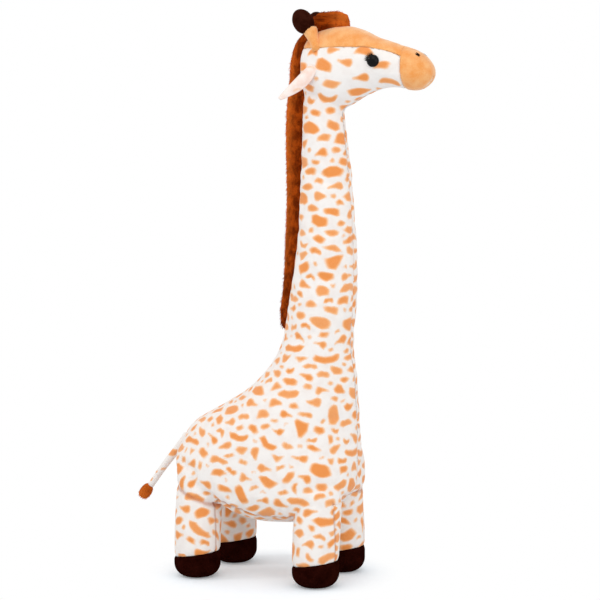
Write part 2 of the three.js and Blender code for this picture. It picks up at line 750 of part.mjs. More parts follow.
function addEar(side, name) {
  const level = new THREE.Vector3(EAR_REACH, 0, HEAD_HEIGHT + EAR_RISE);
  const { point, outward } = meet(headForm, level.clone().setY(side * REACH_LIMIT), level);
  const along = new THREE.Vector3(
    -Math.cos(EAR_DROOP) * Math.cos(EAR_SPREAD),
    side * Math.sin(EAR_SPREAD),
    -Math.sin(EAR_DROOP) * Math.cos(EAR_SPREAD),
  ).normalize();
  const across = new THREE.Vector3().crossVectors(outward, along).normalize();
  const face = new THREE.Vector3().crossVectors(along, across);
  const ear = new THREE.Group();
  ear.name = `${name}_ear_hinge`;
  const seat = point.clone().addScaledVector(outward, EAR_STAND_OFF);
  ear.applyMatrix4(new THREE.Matrix4().makeBasis(along, across, face).setPosition(seat));
  toy.add(ear);
  const half = SEAM_GAP / 2;
  const back = plate(8, 4, earSurface((ply) => ply), earSurface(() => half));
  const lining = plate(8, 4, earSurface(() => -half), earSurface((ply) => -ply));
  addPiece(`${name}_ear_back`, solid(back), printedPlush, ear);
  addPiece(`${name}_ear_lining`, solid(lining), earLining, ear);
}

// Tail: a sewn tube with a rounded root that swings in its seam on the rump, and a fur tuft

function addTail() {
  const behind = new THREE.Vector3(-REACH_LIMIT, 0, TAIL_HEIGHT);
  const { point, outward } = meet(bodyForm, behind, new THREE.Vector3(0, 0, TAIL_HEIGHT));
  const along = new THREE.Vector3(-Math.cos(TAIL_DIP), 0, -Math.sin(TAIL_DIP));
  const tail = new THREE.Group();
  tail.name = 'tail_hinge';
  outward.setY(0).normalize();
  const seat = point.clone().addScaledVector(outward, TAIL_RADIUS + SEAM_GAP);
  tail.applyMatrix4(facing(seat, along, new THREE.Vector3(1, 0, 0)));
  toy.add(tail);
  const tube = (by, end) => {
    const radius = TAIL_RADIUS - by;
    const root = TAIL_ROOT_TURNS.map((degrees) => {
      const turn = THREE.MathUtils.degToRad(degrees);
      return [radius * Math.cos(turn), radius * Math.sin(turn)];
    });
    return [[0, -radius], ...root, [TAIL_END_RADIUS - by, end]];
  };
  const skin = turned([...tube(0, TAIL_LENGTH), ...tube(TAIL_CLOTH, TAIL_LENGTH).reverse()], TAIL_FACETS);
  const inset = TAIL_CLOTH + SEAM_GAP;
  const coreEnd = TAIL_LENGTH - inset;
  const filling = turned([...tube(inset, coreEnd), [0, coreEnd]], TAIL_FACETS);
  const start = TAIL_LENGTH + SEAM_GAP;
  const tuft = turned([
    [0, start],
    [TAIL_END_RADIUS, start],
    ...TUFT_OUTLINE.map(({ along, out }) => [TUFT_RADIUS * out, start + TUFT_LENGTH * along]),
    [0, start + TUFT_LENGTH],
  ]);
  addPiece('tail_skin', solid(skin), printedPlush, tail);
  addPiece('tail_stuffing', solid(filling), stuffing, tail);
  addPiece('tail_tuft', solid(tuft), brownFur, tail);
}

addTorsoAndNeck();
addLegs();
addHead();
addHorn(-1, 'right');
addHorn(1, 'left');
addMane();
addForelock();
addEar(-1, 'right');
addEar(1, 'left');
addTail();

const extent = new THREE.Box3().setFromObject(toy, true);
toy.position.x = -(extent.min.x + extent.max.x) / 2;
const group = new THREE.Group();
group.add(toy);
export default group;
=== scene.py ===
"""Stuffed toy giraffe, 85 cm tall, dressed in printed plush.

The looks are built round the packed CAD part: a sewn skin that is blown up like a stuffed one,
a giraffe print laid out spot by spot, fur strands, glossy button eyes and a pale studio.
All tables are in millimetres and in the legs' frame: X forwards from the middle of the legs,
Y to the giraffe's left, Z up from the floor.
"""

import json
import math
from collections import namedtuple

import bmesh
import bpy
import numpy as np
from bpy.props import FloatProperty, FloatVectorProperty, IntProperty, PointerProperty
from mathutils import Matrix, Vector


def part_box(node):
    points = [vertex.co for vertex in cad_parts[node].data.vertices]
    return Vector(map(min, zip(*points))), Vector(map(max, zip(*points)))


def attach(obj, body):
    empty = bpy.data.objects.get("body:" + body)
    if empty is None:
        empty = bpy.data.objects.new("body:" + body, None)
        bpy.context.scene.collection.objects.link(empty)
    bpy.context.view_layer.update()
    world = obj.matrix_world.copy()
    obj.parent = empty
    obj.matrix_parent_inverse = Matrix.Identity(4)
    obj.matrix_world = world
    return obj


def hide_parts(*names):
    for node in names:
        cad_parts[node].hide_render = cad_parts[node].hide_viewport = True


bl_info = {
    "name": "Plush Giraffe",
    "version": (1, 0, 0),
    "blender": (4, 5, 0),
    "location": "View3D > Sidebar > Giraffe",
    "description": "Builds the looks of a stuffed toy giraffe piece by piece",
    "category": "Object",
}

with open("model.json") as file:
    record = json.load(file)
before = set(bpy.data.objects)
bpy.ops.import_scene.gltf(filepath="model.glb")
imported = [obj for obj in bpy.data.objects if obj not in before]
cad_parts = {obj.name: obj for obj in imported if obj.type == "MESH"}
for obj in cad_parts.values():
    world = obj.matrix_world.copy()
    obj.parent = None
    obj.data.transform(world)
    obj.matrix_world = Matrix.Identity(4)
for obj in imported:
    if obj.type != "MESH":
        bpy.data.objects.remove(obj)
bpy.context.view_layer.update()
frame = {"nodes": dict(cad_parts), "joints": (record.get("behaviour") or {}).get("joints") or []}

MM = 0.001
SIDES = (("right", -1), ("left", 1))
FORWARDS = (1, 0, 0)

# Where the forms lie, the same as in the CAD part
HEAD_HEIGHT = 760
NECK_SEAM_HEIGHT = 345
BELLY_HEIGHT = 88
BELLY_DOME = 42
BELLY_FULLNESS = 0.75
REAR_RISE = 50
FRONT_RISE = 26
RISE_HEIGHT = 110
NECK_TOP_DOME = 26
BODY_COLUMNS = 80
# The cloth panel under the belly: its half width and how much wider it is at the rear legs,
# the height of its two ends and how much lower they lie out under the chest and the rump
PANEL_HALF = 66
PANEL_FLARE = 13
PANEL_TOP = 112
PANEL_DROP = 26
# Height, rear reach, front reach, half width, squareness
BODY_ROWS = [
    (130, -143, 137.5, 90, 3.2),
    (165, -143, 138.5, 91, 3),
    (200, -138.5, 139, 88, 2.5),
    (230, -120, 139, 83, 2.2),
    (265, -63, 137, 74, 2.1),
    (300, -19, 135, 63, 2),
    (350, 16.5, 128, 52, 2),
    (410, 30, 131, 48.5, 2),
    (480, 42, 132.3, 43.5, 2),
    (600, 51, 124.4, 35.5, 2),
    (703, 54, 113.5, 31, 2),
    (745, 58, 108, 29, 2),
]
# Reach, rise over and drop under the head's height, half width
HEAD_ROWS = [
    (53, 27, 25, 16),
    (58, 39, 40, 26),
    (72, 52, 54, 36),
    (92, 59, 61, 41),
    (118, 62, 57, 43),
    (146, 56.5, 42, 41),
    (176, 43, 30, 36),
    (205, 33.5, 29, 32),
    (226, 26.5, 33.5, 30.5),
    (243, 16.5, 28.5, 25.5),
    (252.5, 6, 20, 17),
]
HEAD_COLUMNS = 64
SKULL = (50.5, 0, 762)
NOSE = (257.4, 0, 751.5)
HEAD_SQUARENESS = 2.1
MUZZLE_SEAM = 214
BLAZE_EDGE = 30
BLAZE_DROP = 14
BLAZE_BEND = 150

LEG_RADIUS = 35
LEG_LEAN = 12
LEG_OFFSET = 60
# Name, reach, side, top of the root, seam height at the middle, how the seam slopes along X
Leg = namedtuple("Leg", "name reach side top seam slope")
LEGS = [
    Leg("right_front", 96, -1, 156, 117, 0.02),
    Leg("right_rear", -97, -1, 178, 124, -0.42),
    Leg("left_front", 90, 1, 156, 117, 0.02),
    Leg("left_rear", -91, 1, 178, 124, -0.42),
]
ROOT_DOME = 18
# How far a leg runs up inside its root, and how far under the seam a rear leg is gathered
LEG_TUCK = 6
GATHER_DROP = 4
LEG_RINGS = 44
HOOF_HEIGHT = 35
HOOF_SLOPE = math.tan(math.radians(9))
HOOF_ROUND = 21
# How far a leg and its hoof each stay from the seam between them
HOOF_CLEARANCE = 0.3

# Share of the way up the neck, how far out behind the nape, how far sunk, half width
MANE_ROWS = [
    (0.063, 4, 3, 2.5),
    (0.077, 10.7, 6, 4.5),
    (0.113, 15.6, 6, 7.5),
    (0.205, 18.4, 7, 10),
    (0.373, 24.7, 8, 11.5),
    (0.542, 27.4, 8, 11.5),
    (0.711, 31.2, 8, 11.5),
    (0.855, 31.8, 8, 11.5),
    (0.964, 31, 10, 11.5),
    (1.048, 26.5, 12, 11.5),
    (1.106, 17, 22, 10),
    (1.137, 4, 12, 5),
]
# Reach, rise above the crown, half width
FORELOCK_ROWS = [
    (65.5, 14, 6),
    (67, 23, 9),
    (73, 28, 12),
    (88, 26.4, 13.5),
    (105, 23.6, 14),
    (115.5, 20, 13.5),
    (121, 13.7, 11),
    (122.5, 6, 8),
]
FORELOCK_SINK = 8
# How much flatter and narrower than in the CAD part these two are, as their strands stand out
MANE_TRIM = (3.2, 1.6)
FORELOCK_TRIM = (1.5, 1.2)
FUR_COLUMNS = 28

# How far the row frame's origin lies ahead of the middle of the legs, from where a hoof stands
lowest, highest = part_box("right_front_hoof")
AHEAD = LEGS[0].reach - (lowest.x + highest.x) / 2 / MM


def to_row(points):
    """Points of the legs' frame, in millimetres, as points of the row frame, in metres."""
    points = np.array(points, float).reshape(-1, 3)
    return (points - (AHEAD, 0, 0)) * MM


def to_legs(points):
    """Points of the row frame, in metres, as points of the legs' frame, in millimetres."""
    return np.array(points, float).reshape(-1, 3) / MM + (AHEAD, 0, 0)


def joint_of(name):
    """Where a joint of the CAD part is, in the legs' frame, and its axis."""
    joint = next(joint for joint in frame["joints"] if joint["name"] == name)
    return to_legs([joint["pos_m"]])[0], Vector(joint["axis"])


def rgb(red, green, blue):
    """A colour as it looks on a screen, written from 0 to 255, in shares of one."""
    return red / 255, green / 255, blue / 255


def ease(value, start, end):
    """0 up to a start and 1 from an end on, smoothly in between. The end may be the lower one."""
    share = np.clip((value - start) / (end - start), 0, 1)
    return share * share * (3 - 2 * share)


def beside(distance, width):
    """1 on a line and falling off on both sides of it, to about a third at that width."""
    return np.exp(-((distance / width) ** 2))


def arc(first, last, step):
    """Angles from the first up to the last, given in degrees, in radians."""
    return [math.radians(degrees) for degrees in range(first, last, step)]


def curve_through(rows, at):
    """The values of a table at any places along its first column."""
    rows = np.array(rows, float)
    along, values = rows[:, 0], rows[:, 1:]
    slopes = np.gradient(values, along, axis=0)
    at = np.clip(np.atleast_1d(np.array(at, float)), along[0], along[-1])
    i = np.clip(np.searchsorted(along, at) - 1, 0, len(along) - 2)
    span = (along[i + 1] - along[i])[:, None]
    t = (at - along[i])[:, None] / span
    a, b = values[i], values[i + 1]
    return (
        (2 * t**3 - 3 * t**2 + 1) * a
        + (t**3 - 2 * t**2 + t) * span * slopes[i]
        + (3 * t**2 - 2 * t**3) * b
        + (t**3 - t**2) * span * slopes[i + 1]
    )


def turns(count, squareness=2.0):
    """Points round a circle or a squared circle, as shares of its two half widths."""
    turn = np.linspace(0, 2 * math.pi, count, endpoint=False)
    shares = np.array([np.cos(turn), np.sin(turn)])
    return np.sign(shares) * np.abs(shares) ** (2 / squareness)


def loft(rings, first, last):
    """A closed form through rings of points, with a point at each end."""
    rings = np.array(rings, float)
    rows, columns = rings.shape[:2]
    points = np.concatenate([rings.reshape(-1, 3), [first], [last]])
    faces = []
    for j in range(columns):
        k = (j + 1) % columns
        for i in range(rows - 1):
            a, b = i * columns, (i + 1) * columns
            faces.append((a + j, a + k, b + k, b + j))
        faces.append((rows * columns, k, j))
        faces.append((rows * columns + 1, (rows - 1) * columns + j, (rows - 1) * columns + k))
    return points, faces


def turned(profile, count):
    """A closed form turned about Z, from (radius, height) pairs whose ends are on the axis."""
    across, up = turns(count)
    rings = [
        np.stack([radius * across, radius * up, np.full(count, height)], 1)
        for radius, height in profile[1:-1]
    ]
    return loft(rings, (0, 0, profile[0][1]), (0, 0, profile[-1][1]))


def placed(form, origin, along, ahead):
    """A form made round Z, set down at a point with its Z along a direction."""
    z = Vector(along).normalized()
    y = z.cross(Vector(ahead)).normalized()
    turn = np.array(Matrix((y.cross(z), y, z)))
    return np.array(form[0]) @ turn + np.array(origin), form[1]


def joined(*forms):
    """Several (points, faces) forms as one."""
    points, faces, base = [], [], 0
    for form_points, form_faces in forms:
        points.append(np.array(form_points, float))
        faces += [tuple(base + i for i in face) for face in form_faces]
        base += len(form_points)
    return np.concatenate(points), faces


def make_mesh(name, points, faces):
    """A mesh in the row frame from points of the legs' frame, with its faces turned outwards."""
    mesh = bpy.data.meshes.new(name)
    mesh.from_pydata(to_row(points).tolist(), [], faces)
    work = bmesh.new()
    work.from_mesh(mesh)
    bmesh.ops.recalc_face_normals(work, faces=work.faces)
    work.to_mesh(mesh)
    work.free()
    mesh.shade_smooth()
    return mesh


def new_object(name, data):
    """An object with that data, in the scene."""
    thing = bpy.data.objects.new(name, data)
    bpy.context.scene.collection.objects.link(thing)
    return thing


def show(name, mesh, body, look, nodes=()):
    """Puts a mesh in the scene as a piece of the toy, in one of the materials."""
    piece = new_object(name, mesh)
    mesh.materials.clear()
    mesh.materials.append(materials(bpy.context.scene)[look])
    mesh.shade_smooth()
    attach(piece, body)
    if nodes:
        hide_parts(*nodes)


def with_modifier(mesh, kind, **settings):
    """The mesh as one of Blender's modifiers leaves it."""
    work = new_object("work", mesh)
    modifier = work.modifiers.new(kind.title(), kind)
    for key, value in settings.items():
        setattr(modifier, key, value)
    graph = bpy.context.evaluated_depsgraph_get()
    result = bpy.data.meshes.new_from_object(work.evaluated_get(graph))
    bpy.data.objects.remove(work)
    return result


def read(items, name, width, kind):
    """A property of all items of a mesh as an array with that many columns."""
    values = np.empty(len(items) * width, kind)
    items.foreach_get(name, values)
    return values.reshape(-1, width)


def points_of(mesh):
    return read(mesh.vertices, "co", 3, float)


def normals_of(mesh):
    return read(mesh.vertex_normals, "vector", 3, np.float32).astype(float)


def set_points(mesh, points):
    mesh.vertices.foreach_set("co", np.ascontiguousarray(points, np.float32).ravel())
    mesh.update()


def write(mesh, **attributes):
    """Stores a number for each point of a mesh, under each name."""
    for name, values in attributes.items():
        attribute = mesh.attributes.get(name) or mesh.attributes.new(name, "FLOAT", "POINT")
        attribute.data.foreach_set("value", np.asarray(values, np.float32))


def relax(mesh, rounds):
    """Smooths a mesh without shrinking it: each round draws points together, then pushes them back."""
    a, b = read(mesh.edges, "vertices", 2, np.int64).T
    points = points_of(mesh)
    size = len(points)
    count = np.bincount(np.concatenate([a, b]), minlength=size)[:, None]
    for share in (0.5, -0.52) * rounds:
        total = np.stack(
            [np.bincount(a, row[b], size) + np.bincount(b, row[a], size) for row in points.T], 1
        )
        points = points + share * (total / count - points)
    set_points(mesh, points)


def ripple(points, seed, size):
    """Smooth random values between -1 and 1 over space, with waves of about that size."""
    rng = np.random.default_rng(seed)
    total = np.zeros(len(points))
    for _ in range(6):
        wave = rng.normal(size=3)
        wave *= 2 * math.pi / size / np.linalg.norm(wave) * rng.uniform(0.6, 1.5)
        total += np.sin(points @ wave + rng.uniform(0, 2 * math.pi))
    return total / 6


# Materials


class Value:
    """An output of a material's node tree that adds, subtracts and multiplies like a number."""

    def __init__(self, shader, socket):
        self.shader, self.socket = shader, socket

    def __add__(self, other):
        return self.shader.maths("ADD", self, other)

    def __sub__(self, other):
        return self.shader.maths("SUBTRACT", self, other)

    def __rsub__(self, other):
        return self.shader.maths("SUBTRACT", other, self)

    def __mul__(self, other):
        return self.shader.maths("MULTIPLY", self, other)

    def __neg__(self):
        return 0 - self

    __radd__ = __add__
    __rmul__ = __mul__


# Outputs of Light Path: camera, glossy and transmission rays
SEEN_RAYS = (0, 3, 6)


class Shader:
    """One material or world, built up from nodes."""

    def __init__(self, owner):
        owner.use_nodes = True
        self.owner, self.tree = owner, owner.node_tree
        self.tree.nodes.clear()

    def node(self, kind, settings=None, sockets=None, output=0):
        """Adds a node, sets it, feeds its sockets and gives one of its outputs."""
        node = self.tree.nodes.new(kind)
        for key, value in (settings or {}).items():
            setattr(node, key, value)
        for key, value in (sockets or {}).items():
            if isinstance(value, Value):
                self.tree.links.new(value.socket, node.inputs[key])
            else:
                node.inputs[key].default_value = value
        return Value(self, node.outputs[output]) if len(node.outputs) else None

    def maths(self, operation, *values):
        return self.node("ShaderNodeMath", {"operation": operation}, dict(enumerate(values)))

    def vector(self, operation, *values, output=0):
        sockets = dict(enumerate(values))
        return self.node("ShaderNodeVectorMath", {"operation": operation}, sockets, output)

    def limited(self, value):
        return self.node("ShaderNodeClamp", None, {0: value})

    def ramp(self, value, low, high):
        """0 below low and 1 above high, smoothly in between."""
        settings = {"interpolation_type": "SMOOTHSTEP"}
        return self.node("ShaderNodeMapRange", settings, {0: value, 1: low, 2: high})

    def mixed(self, a, b, share):
        """Two colours, the second one by that share. Each is an output or as it looks on a screen."""
        a, b = (end if isinstance(end, Value) else colour(end) for end in (a, b))
        return self.node("ShaderNodeMix", {"data_type": "RGBA"}, {0: share, 6: a, 7: b}, 2)

    def place(self):
        """The object's own coordinates."""
        return self.node("ShaderNodeTexCoord", output=3)

    def noise(self, size, detail=2.0, roughness=0.5, scale=(1, 1, 1)):
        """Noise from 0 to 1 with blotches of about that size in millimetres, over a scale for each axis."""
        where = self.vector("MULTIPLY", self.place(), tuple(value / MM for value in scale))
        sockets = {"Vector": where, "Scale": 1 / size, "Detail": detail, "Roughness": roughness}
        return self.node("ShaderNodeTexNoise", None, sockets)

    def attribute(self, name):
        return self.node("ShaderNodeAttribute", {"attribute_name": name}, output=2)

    def bump(self, height, distance):
        return self.node("ShaderNodeBump", None, {"Height": height, "Distance": distance * MM})

    def seen(self):
        """1 for what is seen itself, in a mirror or through glass, and 0 for what only gives light."""
        return self.limited(sum(self.node("ShaderNodeLightPath", output=ray) for ray in SEEN_RAYS))

    def glow(self, strength):
        sockets = {"Color": (1, 1, 1, 1), "Strength": strength}
        return self.node("ShaderNodeEmission", None, sockets)

    def blend(self, a, b, share):
        """Two shaders, the second one by that share."""
        return self.node("ShaderNodeMixShader", None, {0: share, 1: a, 2: b})

    def surface(self, shader):
        kind = "World" if isinstance(self.owner, bpy.types.World) else "Material"
        self.node(f"ShaderNodeOutput{kind}", None, {"Surface": shader})
        return self.owner


def colour(shares):
    """A colour as it looks on a screen, as Blender's own linear colour."""
    linear = [v / 12.92 if v <= 0.04045 else ((v + 0.055) / 1.055) ** 2.4 for v in shares]
    return (*linear, 1.0)


def new_shader(name):
    return Shader(bpy.data.materials.new(name))


def pile(shader, base, sheen, tint, depth=0.35, shine=0.08, roughness=0.9, nap=1.1):
    """Short plush pile over a base colour: a fine nap, soft dents and a sheen at the edges."""
    fine = shader.noise(nap, 3.0, 0.65)
    soft = shader.noise(9.0)
    sockets = {
        "Base Color": base,
        "Roughness": roughness,
        "Specular IOR Level": shine,
        "Sheen Weight": sheen,
        "Sheen Roughness": 0.45,
        "Sheen Tint": colour(tint),
        "Normal": shader.bump(fine * 0.75 + soft * 1.6, depth),
    }
    return shader.surface(shader.node("ShaderNodeBsdfPrincipled", None, sockets))


def printed_plush(settings, name="Printed plush", ground=None, shade=None, wash=0.0):
    """White plush with the giraffe print that the print attributes lay out, washed out by a share, with
    painted shade down in its seams.
    """
    shader = new_shader(name)
    softness = settings.softness / MM
    fray = (shader.noise(1.6) - 0.5) * (settings.fray / MM)
    outside = shader.ramp(shader.attribute("spot") + fray, -softness, softness)
    mottle = shader.ramp(shader.noise(14.0, 3.0), 0.35, 0.8)
    nap = shader.noise(2.2)
    white = shader.mixed(ground or settings.ground, shade or settings.ground_shade, mottle)
    deep = shader.ramp(-shader.attribute("spot"), 0.2, 3.6)
    share = shader.limited(deep * (shader.attribute("tint") * 0.4 + 0.7) + nap * 0.4 - 0.2)
    orange = shader.mixed(settings.spot, settings.spot_shade, share)
    cloth = shader.mixed(orange, white, outside * (1 - wash) + wash)
    # Painted shade: down in the seams the cloth is mixed towards the seam colour, by the share that the
    # seams' attribute gives
    shade_in_seams = shader.limited(shader.attribute("crease") * (0.55 + nap * 0.5))
    cloth = shader.mixed(cloth, settings.crease, shade_in_seams)
    return pile(shader, cloth, 0.4, rgb(255, 240, 232))


def plain_plush(name, light, shade, size, sheen=0.25, tint=(1, 1, 1), depth=0.35, shine=0.08):
    """Plush of one colour, with its nap brushed lighter and darker."""
    shader = new_shader(name)
    share = shader.ramp(shader.noise(size, 3.0) * 0.7 + shader.noise(2.0) * 0.3, 0.3, 0.7)
    return pile(shader, shader.mixed(light, shade, share), sheen, tint, depth, shine)


def fur(settings, name="Brown fur", stretch=(1, 1, 0.55)):
    """Longer brown fur: dark at the roots, lighter at the tips, in locks."""
    shader = new_shader(name)
    locks = shader.ramp(shader.noise(9.0, 3.0, 0.6, stretch), 0.36, 0.68)
    tip = shader.attribute("along")
    share = shader.limited(tip * 0.85 + locks * (tip * 0.6 + 0.45))
    base = shader.mixed(settings.dark, settings.light, share)
    # Painted highlight: the edge colour is painted on where the light catches the fur, as the edge attribute
    # marks
    lit = shader.mixed(base, settings.edge, shader.limited(shader.attribute("edge")))
    return pile(shader, lit, 0.12, rgb(255, 150, 80), 0.6, 0.02, 0.8, 0.8)


def glossy(name, paint, roughness, shine):
    """Hard plastic with a faint haze."""
    shader = new_shader(name)
    deep = tuple(share * 0.5 for share in paint)
    sockets = {
        "Base Color": shader.mixed(paint, deep, shader.noise(3.0)),
        "Roughness": shader.noise(6.0) * 0.06 + roughness,
        "Specular IOR Level": shine,
    }
    return shader.surface(shader.node("ShaderNodeBsdfPrincipled", None, sockets))


# The skin


def belly_rise(x):
    """How much higher the underside lies towards the legs than at the middle of the belly."""
    rear, front = BODY_ROWS[0][1:3]
    return np.where(x < 0, REAR_RISE * ease(x, 0, rear), FRONT_RISE * ease(x, front / 2, front))


def inside_side(points):
    """How far points lie inside the two long edges of the belly panel, which widen towards the rear legs."""
    x, y, _ = points.T
    return PANEL_HALF + PANEL_FLARE * ease(x, 20, -30) * ease(x, -62, -54) - np.abs(y)


def inside_top(points):
    """How far points lie under the front and rear edges of the belly panel."""
    x, _, z = points.T
    return PANEL_TOP + belly_rise(x) - PANEL_DROP * ease(np.abs(x), 115, 140) - z


def inside_panel(points):
    """How far points lie inside the edge of the belly panel, which runs on down the inside of the legs."""
    return np.minimum(inside_side(points), inside_top(points))


def body_ring(height, row, scale=1):
    rear, front, half, squareness = row
    along, across = turns(BODY_COLUMNS, squareness)
    x = (rear + front) / 2 + (front - rear) / 2 * scale * along
    fade = max(0.0, 1 - (height - BELLY_HEIGHT) / RISE_HEIGHT)
    return np.stack([x, half * scale * across, height + fade * belly_rise(x)], 1)


def body_form():
    """Torso and neck as one closed form."""
    rings = []
    first, last = BODY_ROWS[0], BODY_ROWS[-1]
    for turn in arc(6, 90, 7):
        height = BELLY_HEIGHT + BELLY_DOME * (1 - math.cos(turn))
        rings.append(body_ring(height, first[1:], math.sin(turn) ** BELLY_FULLNESS))
    for height in np.arange(first[0], last[0], 7.0):
        rings.append(body_ring(height, curve_through(BODY_ROWS, height)[0]))
    for turn in arc(0, 90, 15):
        height = last[0] + NECK_TOP_DOME * math.sin(turn)
        rings.append(body_ring(height, last[1:], math.cos(turn)))
    bottom = ((first[1] + first[2]) / 2, 0, BELLY_HEIGHT)
    top = ((last[1] + last[2]) / 2, 0, last[0] + NECK_TOP_DOME)
    return loft(rings, bottom, top)


def head_slice(reach):
    """The height of the head's middle, its half height and its half width at a reach."""
    over, under, half = curve_through(HEAD_ROWS, reach)[0]
    return HEAD_HEIGHT + (over - under) / 2, (over + under) / 2, half


def head_bulge(share):
    """How wide the squared round of the head is at a share of its height, or how tall across it."""
    return (1 - share**HEAD_SQUARENESS) ** (1 / HEAD_SQUARENESS)


def head_form():
    rings = []
    across, up = turns(HEAD_COLUMNS, HEAD_SQUARENESS)
    # The slices lie closer together where the back of the head rounds over
    for reach in np.concatenate([[53, 54.5, 56], np.arange(58, 252, 4.0), [252.5]]):
        middle, tall, half = head_slice(reach)
        rings.append(np.stack([np.full(HEAD_COLUMNS, reach), half * across, middle + tall * up], 1))
    return loft(rings, SKULL, NOSE)


def head_width(reach, height):
    """The half width of the head at a place on it."""
    middle, tall, half = head_slice(reach)
    return half * head_bulge(min(abs(height - middle) / tall, 0.999))


def head_at(reach, height, side):
    """A point on the side of the head, with the outward direction there."""
    y = head_width(reach, height)
    lean_x = (head_width(reach + 1, height) - head_width(reach - 1, height)) / 2
    lean_z = (head_width(reach, height + 1) - head_width(reach, height - 1)) / 2
    outward = Vector((-lean_x, side, -lean_z)).normalized()
    return Vector((reach, side * y, height)), outward


def crown_at(reach, across):
    """The height of the top of the head."""
    middle, tall, half = head_slice(reach)
    return middle + tall * head_bulge(abs(across / half))


def blaze_height(x):
    """The height of the blaze's lower edge at each reach."""
    share = np.clip((x - BLAZE_BEND) / (MUZZLE_SEAM - BLAZE_BEND), 0, 1)
    return HEAD_HEIGHT + BLAZE_EDGE - BLAZE_DROP * share**2


def leg_ring(leg, height, slope, radius, count=48):
    """A ring round a leg, whose plane slopes along X."""
    across, round_it = turns(count)
    x = leg.reach + radius * across
    z = height + slope * (x - leg.reach)
    lean = LEG_LEAN * ease(z, HOOF_HEIGHT, leg.top)
    y = leg.side * (LEG_OFFSET - lean) + radius * round_it
    return np.stack([x, y, z], 1)


def leg_root_form(leg):
    """The sleeve of the body that a leg is sewn to."""
    rings = []
    low = leg.seam + (-4 if leg.reach > 0 else 1)
    high = leg.top - ROOT_DOME
    for share in np.linspace(0, 1, 10):
        height = low + (high - low) * share
        rings.append(leg_ring(leg, height, leg.slope * (1 - share), LEG_RADIUS))
    for turn in map(math.radians, (20, 40, 60, 75)):
        height = high + ROOT_DOME * math.sin(turn)
        rings.append(leg_ring(leg, height, 0, LEG_RADIUS * math.cos(turn)))
    y = leg.side * (LEG_OFFSET - LEG_LEAN)
    return loft(rings, (leg.reach, y, low), (leg.reach, y, leg.top))


def leg_form(leg, settings):
    """A stuffed tube from the seam of the hoof to the seam of the body, which gathers a rear leg."""
    rings = []
    rear = leg.reach < 0
    pinch, seam_depth = settings.pinch / MM, settings.seam_depth / MM
    low = HOOF_HEIGHT + HOOF_CLEARANCE
    for i in range(LEG_RINGS + 1):
        share = i / LEG_RINGS
        height = low + (leg.seam + LEG_TUCK - low) * share
        tilt = HOOF_SLOPE * (1 - share) + leg.slope * share
        below = share * (leg.seam - low)
        above = (1 - share) * (leg.seam - low) - GATHER_DROP
        drawn = pinch * (beside(below, 3.2) + rear * 1.5 * beside(above, 4.5))
        swell = settings.swell / MM * math.sin(math.pi * share) - 0.6 * min(1, max(0, above / 20))
        ring = leg_ring(leg, height, tilt, LEG_RADIUS - 0.1 - drawn + swell, 120)
        turn = np.arctan2(ring[:, 1] - ring[:, 1].mean(), ring[:, 0] - leg.reach)
        pucker = 0.35 * np.sin(13 * turn + leg.reach) + 0.25 * np.sin(8 * turn + leg.side)
        pucker *= math.exp(-below / 9) + rear * math.exp(-abs(above) / 12)
        dent = 0.6 * seam_depth * beside(np.abs(ring[:, 1]) - PANEL_HALF, 1.789)
        inward = (ring.mean(0) - ring) / LEG_RADIUS
        rings.append(ring + inward * (dent + pucker)[:, None])
    bottom = (leg.reach, leg.side * LEG_OFFSET, low)
    top = (leg.reach, leg.side * (LEG_OFFSET - LEG_LEAN), leg.seam + LEG_TUCK)
    return loft(rings, bottom, top)


def hoof_form(leg, settings):
    """A hoof with a rounded sole, drawn in at the slanting seam."""
    rings = []
    top = HOOF_HEIGHT - HOOF_CLEARANCE
    for turn in arc(0, 91, 9):
        height = HOOF_ROUND * (1 - math.cos(turn))
        rings.append(leg_ring(leg, height, 0, LEG_RADIUS - HOOF_ROUND * (1 - math.sin(turn)), 72))
    for share in np.linspace(0.1, 1, 9):
        height = HOOF_ROUND + (top - HOOF_ROUND) * share
        pinch = settings.pinch / MM * beside((1 - share) * (HOOF_HEIGHT - HOOF_ROUND), 2.6)
        rings.append(leg_ring(leg, height, HOOF_SLOPE * share, LEG_RADIUS - pinch, 72))
    y = leg.side * LEG_OFFSET
    return loft(rings, (leg.reach, y, 0), (leg.reach, y, top))


# The frames in which the cloth blows up, and how far from a seam it is held
CLOTH_FRAMES = 20
PINNED_WIDTH = 5
# Farther than any point lies from a seam that it belongs to
FAR = 99.0
# The least slope by which a distance along the cloth is worked out from one in a plane
LEAST_SLOPE = 0.35
# The cloth of the blaze, and how far the skin under the blaze and the muzzle is sunk
BLAZE_THICKNESS = 1.6
UNDERLAY_SINK = 2.4


